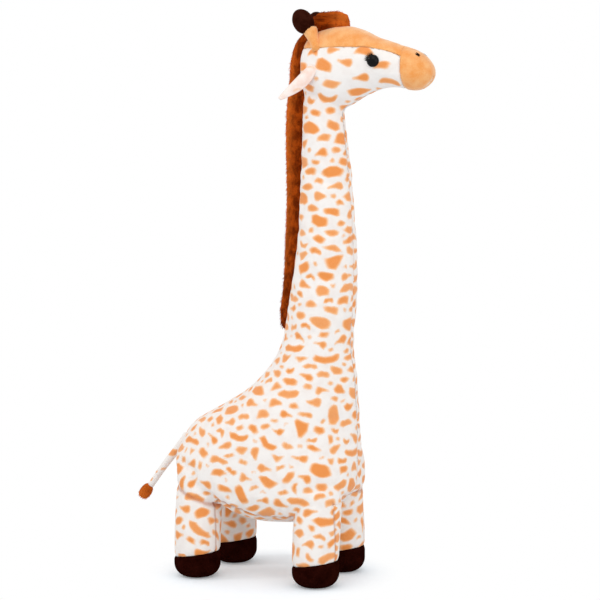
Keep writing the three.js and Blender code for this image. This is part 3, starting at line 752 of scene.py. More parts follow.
def inflate(mesh, pinned, settings):
    """Blows the skin up as stuffing does, and lets it crumple along the pinned seams."""
    skin = new_object("inflated", mesh)
    group = skin.vertex_groups.new(name="seams")
    for i in np.flatnonzero(pinned > 0.02):
        group.add([int(i)], float(pinned[i]), "REPLACE")
    modifier = skin.modifiers.new("Stuffing", "CLOTH")
    cloth = modifier.settings
    cloth.quality = 6
    cloth.mass = 0.3
    cloth.tension_stiffness = cloth.compression_stiffness = 18
    cloth.shear_stiffness = 8
    cloth.bending_stiffness = 0.4
    cloth.use_pressure = True
    cloth.uniform_pressure_force = settings.pressure
    cloth.shrink_min = -settings.slack
    cloth.vertex_group_mass = "seams"
    cloth.effector_weights.gravity = 0
    modifier.point_cache.frame_start = 1
    modifier.point_cache.frame_end = CLOTH_FRAMES
    scene = bpy.context.scene
    before = points_of(mesh)
    for step in range(1, CLOTH_FRAMES + 1):
        scene.frame_set(step)
    graph = bpy.context.evaluated_depsgraph_get()
    blown = bpy.data.meshes.new_from_object(skin.evaluated_get(graph))
    scene.frame_set(1)
    bpy.data.objects.remove(skin)
    move = points_of(blown) - before
    length = np.linalg.norm(move, axis=1, keepdims=True)
    # The head is stuffed hard and keeps its shape
    give = settings.give * (1 - 0.85 * ease(before[:, 2] / MM, 680, 720))[:, None]
    move *= np.minimum(1, give / np.maximum(length, 1e-9))
    set_points(blown, before + move)
    return blown


def seam_distances(mesh):
    """How far each point of the skin lies from each seam, in millimetres."""
    points, normals = to_legs(points_of(mesh)), normals_of(mesh)
    x, y, z = points.T
    steep = np.maximum(LEAST_SLOPE, np.sqrt(1 - normals[:, 2] ** 2))
    under_chin = normals[:, 2] < -0.2
    centre = np.where((normals[:, 2] < 0.5) & ((z < 700) | under_chin), np.abs(y), FAR)
    below = ease(blaze_height(x) - z, -2, 6)
    muzzle = np.abs(x - MUZZLE_SEAM) + FAR * (1 - below * (x > 180))
    on_head = (z > 740) & (x < MUZZLE_SEAM)
    blaze = np.where(on_head, np.abs(z - blaze_height(x)) / steep, FAR)
    roots = np.full(len(x), FAR)
    for leg in LEGS:
        round_it = np.hypot(x - leg.reach, y - leg.side * (LEG_OFFSET - LEG_LEAN / 2))
        above = z - leg.seam - leg.slope * (x - leg.reach)
        beyond = np.maximum(round_it - LEG_RADIUS - LEG_TUCK, 0)
        roots = np.minimum(roots, np.maximum(above, 0) + 4 * beyond)
    side_gap, top_gap = inside_side(points), inside_top(points)
    sideways = np.maximum(LEAST_SLOPE, np.sqrt(1 - normals[:, 1] ** 2))
    panel = np.where(side_gap < top_gap, np.abs(side_gap) / sideways, np.abs(top_gap) / steep)
    return {"centre": centre, "muzzle": muzzle, "blaze": blaze, "roots": roots, "panel": panel}


def stuffed_skin(toy):
    """The skin of the torso, neck and head with the leg roots, blown up between its seams."""
    mesh = make_mesh("skin", *joined(body_form(), head_form(), *map(leg_root_form, LEGS)))
    mesh = with_modifier(mesh, "REMESH", mode="VOXEL", voxel_size=toy.weave)
    relax(mesh, 12)
    if toy.pressure > 0:
        nearest = np.minimum.reduce(list(seam_distances(mesh).values()))
        mesh = inflate(mesh, beside(nearest, PINNED_WIDTH), toy)
    return with_modifier(mesh, "SUBSURF", levels=1, render_levels=1)


def bisect(work, keep, point, normal):
    """Cuts edges along a plane, for the faces whose points pass a test."""
    faces = [face for face in work.faces if all(keep(vert.co) for vert in face.verts)]
    geometry = list({item for face in faces for item in (*face.verts, *face.edges)}) + faces
    bmesh.ops.bisect_plane(work, geom=geometry, plane_co=point, plane_no=normal, dist=1e-6)


def cut_seams(mesh):
    """Gives the skin edges along the muzzle's seam, the middle and the blaze's lower edge."""
    work = bmesh.new()
    work.from_mesh(mesh)
    origin, nearby = Vector((0, 0, 0)), 30 * MM
    muzzle = (MUZZLE_SEAM - AHEAD) * MM
    bisect(work, lambda co: co.x > muzzle - nearby, Vector((muzzle, 0, 0)), Vector((1, 0, 0)))
    bisect(work, lambda co: True, origin, Vector((0, 1, 0)))

    def lift(sign):
        for vert in work.verts:
            vert.co.z += sign * float(blaze_height(vert.co.x / MM + AHEAD)) * MM

    # The blaze's edge is bent, so it is brought down flat to the floor, cut there and put back
    lift(-1)
    bisect(work, lambda co: -nearby < co.z and co.x < muzzle + 1e-5, origin, Vector((0, 0, 1)))
    lift(1)
    work.to_mesh(mesh)
    work.free()
    mesh.shade_smooth()


def sink_seams(mesh, seams, seam_depth):
    """Sinks the seams, makes the cloth a little uneven and gathers it beside the legs and the panel."""
    points, normals = points_of(mesh), normals_of(mesh)
    where = to_legs(points)
    between = ease(np.abs(where[:, 0]), 70, 58)
    dent = seam_depth * (
        0.55 * beside(seams["centre"], 2.2)
        + beside(seams["muzzle"], 2.4)
        + 0.5 * beside(seams["blaze"], 2.0)
        + (0.6 + 1.3 * between) * beside(seams["panel"], 2.4)
    )
    wobble = 0.35 * ripple(where, 5, 42) + 0.2 * ripple(where, 6, 17)
    gathers = between * np.exp(-seams["panel"] / 9) + 0.5 * np.exp(-seams["roots"] / 8)
    wobble += 0.9 * gathers * np.sin(where[:, 0] / 2.1 + 2 * ripple(where, 7, 30))
    set_points(mesh, points + normals * ((wobble - dent) * MM)[:, None])


def part_of(mesh, chosen, name, thickness=0.0):
    """The chosen faces as a mesh of their own, closed with a cap, or as a sheet of that thickness."""
    work = bmesh.new()
    work.from_mesh(mesh)
    work.faces.ensure_lookup_table()
    doomed = [work.faces[i] for i in np.flatnonzero(~chosen)]
    bmesh.ops.delete(work, geom=doomed, context="FACES")
    if not thickness:
        bmesh.ops.holes_fill(work, edges=[edge for edge in work.edges if edge.is_boundary])
    part = bpy.data.meshes.new(name)
    work.to_mesh(part)
    work.free()
    if thickness:
        part = with_modifier(part, "SOLIDIFY", thickness=thickness * MM, offset=-1)
    return part


def tuck_under(mesh, chosen, depth):
    """Sinks the chosen faces, so that the part made from them lies over them."""
    corners = read(mesh.loops, "vertex_index", 1, np.int64)[:, 0]
    totals = read(mesh.polygons, "loop_total", 1, np.int64)[:, 0]
    sunk = np.zeros(len(mesh.vertices))
    sunk[corners[np.repeat(chosen, totals)]] = depth * MM
    set_points(mesh, points_of(mesh) - normals_of(mesh) * sunk[:, None])


def sew_skin(scene):
    """The skin of the torso, neck and head, its blaze and its muzzle."""
    toy = scene.giraffe_skin
    mesh = stuffed_skin(toy)
    cut_seams(mesh)
    seams = seam_distances(mesh)
    x_before = to_legs(points_of(mesh))[:, 0]
    sink_seams(mesh, seams, toy.seam_depth / MM)
    print_on(mesh, scene.giraffe_print, lay_print(scene))
    # Painted shade in the seams: strongest along the belly panel and the rear legs' roots, fainter down the
    # middle and along the blaze
    crease = beside(seams["panel"], 2.6) + 0.3 * beside(seams["centre"], 1.6)
    crease += 0.9 * beside(seams["roots"], 2.2) * (x_before < -50)
    write(mesh, crease=crease + 0.1 * beside(seams["blaze"], 1.6))
    x, _, z = to_legs(read(mesh.polygons, "center", 3, float)).T
    muzzle = x > MUZZLE_SEAM
    blaze = (z > blaze_height(x)) & ~muzzle
    muzzle_part = part_of(mesh, muzzle, "muzzle")
    blaze_part = part_of(mesh, blaze, "blaze", BLAZE_THICKNESS)
    tuck_under(mesh, muzzle | blaze, UNDERLAY_SINK)
    return mesh, blaze_part, muzzle_part


# The print


def soft_largest(distances, sharp):
    """The largest of several distances at each point, with the corners between them rounded."""
    return sharp * np.log(np.exp(np.clip(distances / sharp, -30, 30)).sum(1))


def bean(u, v, long, tall, rng):
    """How far points lie outside a bent bean, about its middle."""
    bend = rng.choice((-1, 1)) * rng.uniform(0.4, 1.5) * tall / long**2
    v = v + bend * (u * u - long * long / 3)
    beyond = np.maximum(np.abs(u) - long + tall, 0)
    return np.sqrt(beyond**2 + v * v) - tall * (1 - rng.uniform(0, 0.3) * u / long)


def drop(u, v, long, tall, rng):
    """How far points lie outside a drop with one blunt end."""
    u = u * rng.choice((-1, 1))
    v = v + rng.normal(0, 0.35) * tall / long**2 * u * u
    width = tall * (1.0 - 0.72 * ease(u / long + rng.uniform(0.3, 0.7), 0, 1.4))
    blunt = np.abs(u) - long + 0.35 * tall * (v / tall) ** 2
    return soft_largest(np.stack([np.abs(v) - width, blunt], 1), 1.1)


def polygon(u, v, long, tall, rng):
    """How far points lie outside a rounded triangle, square or pentagon."""
    size = math.sqrt(long * tall)
    u, v = u / long, v / tall
    v = v + rng.normal(0, 0.22) * (u * u - 0.3)
    corners = rng.choice([3, 4, 5], p=[0.2, 0.55, 0.25])
    around = rng.choice((-0.5, 0.5)) * math.pi + 2 * math.pi / corners * np.arange(corners)
    around += rng.normal(0, 0.14) + rng.normal(0, 0.2, corners)
    push = rng.uniform(0.8, 1.08, corners) * (0.72 if corners == 3 else 0.97)
    sides = np.outer(u, np.cos(around)) + np.outer(v, np.sin(around)) - push
    sharp = 0.13 + 0.7 / size
    return size * (soft_largest(sides, sharp) - 0.3 * sharp)


# The rounds in which spots are laid out, largest first: the least distance between two of a round,
# and for each kind in it the half lengths, half heights and share of that round
SPOT_ROUNDS = [
    (46, [(polygon, (14.0, 18.5), (8.0, 10.5), 0.5), (bean, (16.0, 22.0), (5.4, 6.8), 0.5)]),
    (21, [(polygon, (9.5, 13.0), (5.4, 7.2), 0.5), (drop, (10.5, 13.5), (6.0, 7.8), 0.5)]),
    (14, [(bean, (8.5, 12.0), (4.2, 5.4), 0.55), (polygon, (6.5, 9.0), (4.3, 5.8), 0.45)]),
    (27, [(polygon, (4.0, 5.2), (3.0, 3.8), 1.0)]),
]
# The most spots that a panel can hold, and the places that are tried in each round
MOST_SPOTS = 4000
TRIES = 6000
# No spot reaches further than this from its middle, and off every spot its edge is this far
SPOT_REACH = 40
NO_SPOT = 9.0

Spot = namedtuple("Spot", "home kind long tall u v facing seed")


def frames_on(normals):
    """Sideways and upwards directions along a surface at each of its normals."""
    lean = np.array((0.15, 0.0, 1.0))
    up = lean - normals * (normals @ lean)[:, None]
    up /= np.maximum(np.linalg.norm(up, axis=1, keepdims=True), 1e-6)
    return np.cross(up, normals), up


def scatter(points, normals, scale, settings, seed):
    """Spots that keep their distance from each other all over a surface."""
    rng = np.random.default_rng(seed)
    scale = scale * settings.scale
    side, up = frames_on(normals)
    spots = []
    # For each spot so far: its middle, its half sizes and its two directions
    table = np.zeros((MOST_SPOTS, 11))
    for least, kinds in SPOT_ROUNDS:
        begun = len(spots)
        order = rng.permutation(len(points))[:TRIES]
        which = rng.choice(len(kinds), len(order), p=[kind[3] for kind in kinds])
        for i, kind in zip(order, which):
            shape, longs, talls, _ = kinds[kind]
            count = len(spots)
            step = points[i] - table[:count, :3]
            far = np.sqrt((step * step).sum(1))
            if (far[begun:] < least * scale).any():
                continue
            long, tall = rng.uniform(*longs) * scale, rng.uniform(*talls) * scale
            # Spots lie wider apart on the head, and at looser angles on the torso
            gap = settings.gap / MM + 6 * float(ease(points[i, 2], 710, 740))
            loose = 0.17 + 0.18 * float(ease(points[i, 2], 330, 240))
            turn = rng.normal(0.09, loose)
            turn += math.pi / 2 if rng.uniform() < 0.4 * (loose - 0.17) else 0
            u = side[i] * math.cos(turn) + up[i] * math.sin(turn)
            v = up[i] * math.cos(turn) - side[i] * math.sin(turn)
            near = np.flatnonzero(far < table[:count, 3] + long + gap)
            step, far, theirs = step[near], far[near] + 1e-9, table[near]
            own_half = far / np.hypot(np.hypot(step @ u / long, step @ v / tall), 1e-6)
            across = (step * theirs[:, 5:8]).sum(1) / theirs[:, 3]
            along = (step * theirs[:, 8:11]).sum(1) / theirs[:, 4]
            their_half = far / np.hypot(np.hypot(across, along), 1e-6)
            if (far < gap + own_half + their_half).any():
                continue
            table[count] = (*points[i], long, tall, *u, *v)
            spots.append(Spot(points[i], shape, long, tall, u, v, normals[i], seed + count))
    return spots


def panel_of(points):
    """Which cloth panel points belong to: the giraffe's right, its left or the one under the belly."""
    return np.where(inside_panel(points) > 0, 2, np.where(points[:, 1] > 0, 1, 0))


LAYOUT = {}
# How close together the places lie that a spot can have, and how far apart the panels' seeds
PRINT_STEP = 4.5
SEED_STEP = 5000


def lay_print(scene):
    """Lays the spots of each panel out over the torso, neck, head and legs together, once."""
    if not LAYOUT:
        forms = [body_form(), head_form(), *map(leg_root_form, LEGS)]
        forms += [leg_form(leg, scene.giraffe_skin) for leg in LEGS]
        mesh = make_mesh("whole", *joined(*forms))
        mesh = with_modifier(mesh, "REMESH", mode="VOXEL", voxel_size=PRINT_STEP * MM)
        relax(mesh, 6)
        points, normals = to_legs(points_of(mesh)), normals_of(mesh)
        bpy.data.meshes.remove(mesh)
        panel = panel_of(points)
        for number in range(3):
            mine = panel == number
            seed = scene.giraffe_print.seed + SEED_STEP * number
            LAYOUT[number] = scatter(points[mine], normals[mine], 1.0, scene.giraffe_print, seed)
    return LAYOUT


def nearest_spots(points, normals, warp, spots, fade):
    """For each point: how far outside its nearest spot it lies, how dark that spot is and how far
    the point lies from the middle between that spot and the next one."""
    count = len(points)
    first, second = np.full(count, 1e6), np.full(count, 1e6)
    edge, dark = np.full(count, NO_SPOT), np.full(count, 0.5)
    for spot in spots:
        rng = np.random.default_rng(spot.seed)
        step = points - spot.home
        close = np.abs(step).max(1) < SPOT_REACH
        close = np.flatnonzero(close & (normals @ spot.facing > 0.15))
        if not len(close):
            continue
        step = step[close]
        # Where the surface falls away from the spot's own plane, distances over it are stretched
        flat = np.hypot(step @ spot.u, step @ spot.v) + 1e-6
        round_it = np.hypot(flat, step @ spot.facing) / flat
        u = step @ spot.u * round_it + warp[0][close]
        v = step @ spot.v * round_it + warp[1][close]
        reach = (np.hypot(u / spot.long, v / spot.tall) - 1) * math.sqrt(spot.long * spot.tall)
        own_edge = spot.kind(u, v, spot.long, spot.tall, rng) + fade
        closer = reach < first[close]
        second[close] = np.where(closer, first[close], np.minimum(second[close], reach))
        first[close] = np.where(closer, reach, first[close])
        edge[close] = np.where(closer, own_edge, edge[close])
        dark[close] = np.where(closer, rng.uniform(), dark[close])
    return edge, dark, (second - first) / 2


def print_on(mesh, settings, layout=None, seed=0, scale=1.0, fade=0.0):
    """Prints spots on a mesh: how far each point lies from the edge of its spot, in millimetres
    and negative inside it, and how dark that spot is. Without a layout the mesh gets its own."""
    points, normals = to_legs(points_of(mesh)), normals_of(mesh)
    spot, tint = np.full(len(points), NO_SPOT), np.full(len(points), 0.5)
    panel = panel_of(points) if layout else np.zeros(len(points), int)
    layout = layout or {0: scatter(points, normals, scale, settings, seed)}
    warp = np.array([ripple(points, settings.seed + k, 17) for k in (1, 2)])
    for number, spots in layout.items():
        mine = panel == number
        edge, dark, middle = nearest_spots(points[mine], normals[mine], warp[:, mine], spots, fade)
        spot[mine] = np.maximum(edge, settings.gutter / MM / 2 - middle)
        tint[mine] = dark
    write(mesh, spot=spot, tint=tint)


# The fur


def strands(roots, ways, lengths, width, rng, bend=None, rows=3):
    """Tapered hairs from points of the legs' frame: their points, faces and how far up each point is."""
    count = len(roots)
    ways = ways / np.maximum(np.linalg.norm(ways, axis=1, keepdims=True), 1e-9)
    helper = rng.normal(size=(count, 3))
    side = np.cross(ways, helper)
    side /= np.linalg.norm(side, axis=1, keepdims=True)
    other = np.cross(ways, side)
    bend = np.zeros((count, 3)) if bend is None else bend
    lengths = np.broadcast_to(lengths, count)[:, None]
    corner_turns = [2 * math.pi * corner / 3 for corner in range(3)]
    points, along = [], []
    for row in range(rows):
        t = row / rows
        middle = roots + (ways * t + bend * t * t) * lengths
        for turn in corner_turns:
            arm = side * math.cos(turn) + other * math.sin(turn)
            points.append(middle + arm * width / 2 * (1 - 0.75 * t))
            along.append(np.full(count, t))
    points.append(roots + (ways + bend) * lengths)
    along.append(np.ones(count))
    points = np.stack(points, 1).reshape(-1, 3)
    along = np.stack(along, 1).ravel()
    tip = rows * 3
    pattern = [(2, 1, 0)]
    for low in range(0, tip, 3):
        for corner in range(3):
            a, b = low + corner, low + (corner + 1) % 3
            pattern.append((a, b, b + 3, a + 3) if low + 3 < tip else (a, b, tip))
    size = tip + 1
    faces = [tuple(base + i for i in face) for base in range(0, count * size, size) for face in pattern]
    return points, faces, along


def random_places(points, faces, density, rng):
    """Evenly scattered points on a form, with the direction across its face at each."""
    fans = [(face[0], face[i], face[i + 1]) for face in faces for i in range(1, len(face) - 1)]
    a, b, c = points[np.array(fans).T]
    cross = np.cross(b - a, c - a)
    area = np.linalg.norm(cross, axis=1) / 2
    chosen = rng.choice(len(fans), int(area.sum() * density), p=area / area.sum())
    u, v = rng.uniform(size=(2, len(chosen)))
    flip = u + v > 1
    u, v = np.where(flip, 1 - u, u), np.where(flip, 1 - v, v)
    where = a[chosen] + (b - a)[chosen] * u[:, None] + (c - a)[chosen] * v[:, None]
    return where, cross[chosen] / (2 * area[chosen, None])


def hairy(name, form, settings, seed, comb, light_and_shade, keep=None, length=1.0):
    """A form with fur on it: comb gives each strand's direction, and the function after it the painted light
    and shade of each strand.
    """
    rng = np.random.default_rng(seed)
    points, faces = form
    probe = make_mesh("probe", points, faces)
    outward = normals_of(probe)
    bpy.data.meshes.remove(probe)
    lumps = 0.6 * ripple(points, seed, 9) + 0.4 * ripple(points, seed + 1, 5)
    base = points + outward * lumps[:, None]
    density = settings.density * 1
    roots, facing = random_places(points, faces, density, rng)
    if np.mean(np.einsum("ij,ij->i", roots - points.mean(0), facing) > 0) < 0.5:
        facing = -facing
    if keep is not None:
        kept = keep(roots)
        roots, facing = roots[kept], facing[kept]
    ways = comb(roots, facing) + rng.normal(0, 0.16, roots.shape)
    ways += 0.35 * np.stack([ripple(roots, seed + 2 + k, 11) for k in range(3)], 1)
    lengths = settings.length / MM * length * rng.uniform(0.6, 1.1, len(roots))
    bend = rng.normal(0, 0.12, roots.shape) - (0, 0, 0.12)
    thickness = settings.thickness / MM
    tips, tip_faces, along = strands(roots - facing * 0.6, ways, lengths, thickness, rng, bend)
    all_points, all_faces = joined((base, faces), (tips, tip_faces))
    mesh = make_mesh(name, all_points, all_faces)
    each = np.repeat(rng.uniform(-0.3, 0.3, len(roots)), len(along) // max(len(roots), 1))
    light = np.concatenate([np.full(len(base), 0.1), np.clip(along * 0.9 + each, 0, 1)])
    edge = np.concatenate([np.full(len(base), 0.6), 0.55 + 0.45 * along + each])
    # Painted light and shade: each strand is painted lighter where the light catches it and darker where it
    # lies in shade, as the function given for it says
    bright = light_and_shade(all_points)
    write(mesh, along=light * (0.5 + 0.5 * bright), edge=np.clip(bright**1.6 * edge, 0, 1))
    return mesh


# The settings


def number(name, description, default, **more):
    """A number that a user can set."""
    return FloatProperty(name=name, description=description, default=default, **more)


def millimetres(name, description, default):
    """A length that a user can set, kept in metres and written here in millimetres."""
    return number(name, description, default * MM, min=0, precision=4, unit="LENGTH")


def pick(name, description, *screen):
    """A colour that a user can pick, as it looks on a screen from 0 to 255."""
    return FloatVectorProperty(
        name=name, description=description, default=rgb(*screen), min=0, max=1, subtype="COLOR_GAMMA"
    )


class GiraffeSkin(bpy.types.PropertyGroup):
    """How the skin is sewn and stuffed"""

    weave: millimetres("Weave", "Size of the faces of the skin's first mesh", 5.0)
    pressure: number("Pressure", "How hard the stuffing pushes", 4.0)
    slack: number("Slack", "Share of cloth to spare", 0.02, min=0, max=1, subtype="FACTOR")
    give: millimetres("Give", "Furthest that cloth may move", 3.0)
    seam_depth: millimetres("Seam depth", "How deep seams sink", 1.7)
    pinch: millimetres("Pinch", "How far leg seams draw in", 1.6)
    swell: millimetres("Swell", "How far legs bulge", 0.8)


class GiraffePrint(bpy.types.PropertyGroup):
    """How the giraffe print is laid out and dyed, and the shade painted down in its seams"""

    seed: IntProperty(name="Seed", description="Which layout of spots", default=11)
    scale: number("Scale", "Size of the spots, 1 for the toy's own", 1.0)
    gap: millimetres("Gap", "White between spots", 2.2)
    gutter: millimetres("Gutter", "Least white between spots", 4.6)
    softness: millimetres("Softness", "Blur of a spot's edge", 1.6)
    fray: millimetres("Fray", "How uneven a spot's edge is", 1.9)
    ground: pick("Ground", "Colour of the cloth", 246, 240, 235)
    ground_shade: pick("Ground shade", "Colour of the cloth where its nap is brushed down", 241, 232, 226)
    spot: pick("Spot", "Colour of a spot at its edge", 249, 192, 142)
    spot_shade: pick("Spot shade", "Colour of a spot at its middle", 240, 150, 80)
    # Painted shade: the colour that the cloth is painted down in its seams, where shade falls
    crease: pick("Crease", "Colour of the cloth down in a seam", 186, 118, 88)


class GiraffeCloth(bpy.types.PropertyGroup):
    """Which colours the plain cloths are dyed, with the horn tips painted a lighter brown as lit from behind
    """

    tan: pick("Tan", "Colour of the blaze, the muzzle and the stems of the horns", 247, 185, 122)
    tan_shade: pick("Tan shade", "Colour of the tan cloth where its nap is brushed down", 240, 155, 79)
    hoof: pick("Hooves", "Colour of the hooves", 42, 12, 7)
    hoof_shade: pick("Hoof shade", "Colour of the hooves where their nap is brushed down", 24, 4, 2)
    # Painted light: the horn tips are the hooves' dark plush, painted a lighter brown as lit from behind
    tip: pick("Horn tips", "Colour of the tips of the horns", 58, 25, 17)
    tip_shade: pick("Tip shade", "Colour of the tips where their nap is brushed down", 36, 11, 5)
    lining: pick("Ear lining", "Colour inside the ears", 248, 212, 196)
    lining_shade: pick("Lining shade", "Colour inside the ears where the nap is brushed down", 242, 184, 166)


class GiraffeFur(bpy.types.PropertyGroup):
    """How the fur of the mane, forelock and tail tuft grows"""

    dark: pick("Roots", "Colour of the roots", 92, 24, 0)
    light: pick("Locks", "Colour of the locks", 208, 90, 19)
    edge: pick("Edge", "Colour where the light catches the fur", 244, 128, 46)
    density: number("Density", "Strands for each square millimetre", 0.3)
    length: millimetres("Length", "Length of a strand", 5.0)
    thickness: millimetres("Thickness", "Width of a strand", 0.6)


class GiraffeStage(bpy.types.PropertyGroup):
    """The light of the studio"""

    key: number("Key", "Power of the main lamp", 13.0, unit="POWER")
    fill: number("Fill", "Power of the second lamp", 12.0, unit="POWER")
    catch: number("Catch", "Power of the small lamp", 11.0, unit="POWER")
    lift: number("Lift", "How much brighter the floor looks", 0.2)
    ambient: number("Ambient", "Light from all round", 0.8)


MATERIALS = {}


def materials(scene):
    """The materials by their short names, made once."""
    if not MATERIALS:
        dye, cloth, hair = scene.giraffe_print, scene.giraffe_cloth, scene.giraffe_fur
        MATERIALS.update(
            print=printed_plush(dye),
            ear=printed_plush(dye, "Ear plush", rgb(252, 238, 230), rgb(248, 216, 200), 0.42),
            tan=plain_plush("Tan plush", cloth.tan, cloth.tan_shade, 15.0, 1.0, rgb(255, 236, 216)),
            dark=plain_plush(
                "Dark plush", cloth.hoof, cloth.hoof_shade, 16.0, 0.03, rgb(160, 60, 40), 0.3, 0.0
            ),
            # Painted light: the horn tips are the hooves' dark plush, painted a lighter brown as lit from
            # behind
            tip=plain_plush(
                "Horn plush", cloth.tip, cloth.tip_shade, 14.0, 0.1, rgb(180, 90, 60), 0.3, 0.0
            ),
            lining=plain_plush("Ear lining", cloth.lining, cloth.lining_shade, 8.0),
            fur=fur(hair),
            swept=fur(hair, "Forelock fur", (0.3, 1, 1.6)),
            eye=glossy("Eye plastic", rgb(5, 4, 4), 0.04, 0.14),
            washer=glossy("Washer plastic", rgb(225, 225, 222), 0.4, 0.5),
            lash=plain_plush("Lash felt", rgb(36, 26, 22), rgb(18, 12, 10), 3.0, 0.1),
        )
    return MATERIALS


# The pieces


class GIRAFFE_OT_skin(bpy.types.Operator):
    """Sews the printed skin of the torso, neck and head with its blaze and muzzle"""

    bl_idname = "giraffe.skin"
    bl_label = "Skin"

    def execute(self, context):
        # The skin comes first, so settings that were changed since the last time are taken up here
        LAYOUT.clear()
        MATERIALS.clear()
        skin, blaze, muzzle = sew_skin(context.scene)
        nodes = ["torso_skin", "belly_panel", "neck_skin", "head_skin"]
        nodes += ["torso_stuffing", "neck_stuffing", "head_stuffing"]
        show("Body", skin, "giraffe", "print", nodes)
        show("Blaze", blaze, "giraffe", "tan", ["blaze_panel"])
        show("Muzzle", muzzle, "giraffe", "tan", ["muzzle_skin"])
        return {"FINISHED"}


class GIRAFFE_OT_legs(bpy.types.Operator):
    """Sews the four printed legs"""

    bl_idname = "giraffe.legs"
    bl_label = "Legs"

    def execute(self, context):
        scene = context.scene
        for leg in LEGS:
            mesh = make_mesh(f"{leg.name}_leg", *leg_form(leg, scene.giraffe_skin))
            print_on(mesh, scene.giraffe_print, lay_print(scene))
            points = to_legs(points_of(mesh))
            x, _, z = points.T
            # Painted shade along the belly panel's edge down the inside of the leg, and on a rear leg along
            # its top seam
            crease = 0.8 * beside(inside_side(points), 1.7) * (z < leg.seam)
            if leg.reach < 0:
                crease += 0.8 * beside(leg.seam + leg.slope * (x - leg.reach) - z, 2.8)
            write(mesh, crease=crease)
            nodes = [f"{leg.name}_leg_skin", f"{leg.name}_leg_stuffing"]
            show(f"{leg.name.title()}_leg", mesh, "giraffe", "print", nodes)
        return {"FINISHED"}


class GIRAFFE_OT_hooves(bpy.types.Operator):
    """Sews the four dark hooves"""

    bl_idname = "giraffe.hooves"
    bl_label = "Hooves"

    def execute(self, context):
        for leg in LEGS:
            mesh = make_mesh(f"{leg.name}_hoof", *hoof_form(leg, context.scene.giraffe_skin))
            nodes = [f"{leg.name}_hoof"]
            show(f"{leg.name.title()}_hoof", mesh, "giraffe", "dark", nodes)
        return {"FINISHED"}


HORN_REACH = 81
HORN_OFFSET = 25
HORN_SINK = 2.5
HORN_BACK = math.radians(30)
HORN_OUT = math.radians(8)
# Radius and height round the stem, from its foot inside the head to its collar
STEM_PROFILE = [(0, -9), (7.2, -9), (7.0, -2), (6.8, 1.5), (7.4, 5), (8.6, 9), (9.8, 12.5)]
STEM_PROFILE += [(10.4, 14.8), (10.2, 16.4), (8.8, 17.4), (0, 17.4)]
COLLAR_HEIGHT = 14.8
# Where the stem's foot is sewn on, a little outside the horn's own line
STEM_REACH = 82
STEM_OFFSET = 30
STEM_SINK = 2
TIP_START = 12.5
TIP_RADIUS = 15.5
TIP_LENGTH = 38
TIP_SET_BACK = 2.5


def horn_frame(side):
    """Where a horn stands and the way it leans."""
    origin = Vector((HORN_REACH, side * HORN_OFFSET, crown_at(HORN_REACH, HORN_OFFSET) - HORN_SINK))
    out, up = math.sin(HORN_OUT), math.cos(HORN_BACK) * math.cos(HORN_OUT)
    return origin, Vector((-math.sin(HORN_BACK), side * out, up))


def stem_form(side):
    """The flared stem of a horn, with its cloth gathered in folds towards the collar."""
    points, faces = turned(STEM_PROFILE, 48)
    x, y, z = points.T
    turn = np.arctan2(y, x)
    folds = 0.035 * np.sin(7 * turn + 1) + 0.03 * np.sin(11 * turn + side)
    pleat = 0.16 * beside(turn + side * 0.9, 0.16)
    points[:, :2] *= (1 + ease(z, -2, 12) * folds - ease(z, -6, 4) * pleat)[:, None]
    origin, along = horn_frame(side)
    root = Vector((STEM_REACH, side * STEM_OFFSET, crown_at(STEM_REACH, STEM_OFFSET) - STEM_SINK))
    way = origin + along * COLLAR_HEIGHT - root
    points[:, 2] *= way.length / COLLAR_HEIGHT
    return placed((points, faces), root, way, FORWARDS)


def tip_form(side):
    """The egg-shaped tip of a horn, a little lumpy."""
    profile = [(0, TIP_START)]
    for turn in arc(10, 180, 6):
        height = TIP_START + TIP_LENGTH / 2 * (1 - math.cos(turn))
        profile.append((TIP_RADIUS * math.sin(turn) * (1 + 0.07 * math.cos(turn)), height))
    profile.append((0, TIP_START + TIP_LENGTH))
    points, faces = turned(profile, 48)
    points += 0.35 * ripple(points, 3 + side, 16)[:, None] * points / TIP_RADIUS * (1, 1, 0)
    origin, along = horn_frame(side)
    return placed((points, faces), origin - Vector((TIP_SET_BACK, 0, 0)), along, FORWARDS)


class GIRAFFE_OT_horns(bpy.types.Operator):
    """Sews the two horns: a tan stem with a gathered collar and a dark egg of a tip"""

    bl_idname = "giraffe.horns"
    bl_label = "Horns"

    def execute(self, context):
        for name, side in SIDES:
            stem = make_mesh("stem", *stem_form(side))
            nodes = [f"{name}_horn_stem", f"{name}_horn_stuffing"]
            show(f"{name.title()}_horn_stem", stem, "giraffe", "tan", nodes)
            tip = make_mesh("tip", *tip_form(side))
            nodes = [f"{name}_horn_tip"]
            show(f"{name.title()}_horn_tip", tip, "giraffe", "tip", nodes)
        return {"FINISHED"}


EYE_REACH = 175
EYE_RISE = 9
EYE_RADIUS = 9
EYE_RIM = 0.5
EYE_DOME = 5.6
# Radius and height of the shank and the back of the button
SHANK_PROFILE = [(0, -8), (2.2, -8), (2.2, -1.2), (8.4, -1.2)]
LASHES = 15
NOSTRIL_REACH = 236
NOSTRIL_HEIGHT = 777.5
STITCH_PROFILE = [(0, -3.9), (0.5, -3.6), (0.95, -1.8), (1.0, 1.8), (0.5, 3.6), (0, 3.9)]


def button_form():
    """A domed button on its shank."""
    profile = [*SHANK_PROFILE, (EYE_RADIUS, -0.4), (EYE_RADIUS, EYE_RIM)]
    for turn in arc(10, 90, 8):
        profile.append((EYE_RADIUS * math.cos(turn), EYE_RIM + EYE_DOME * math.sin(turn)))
    return turned([*profile, (0, EYE_RIM + EYE_DOME)], 64)


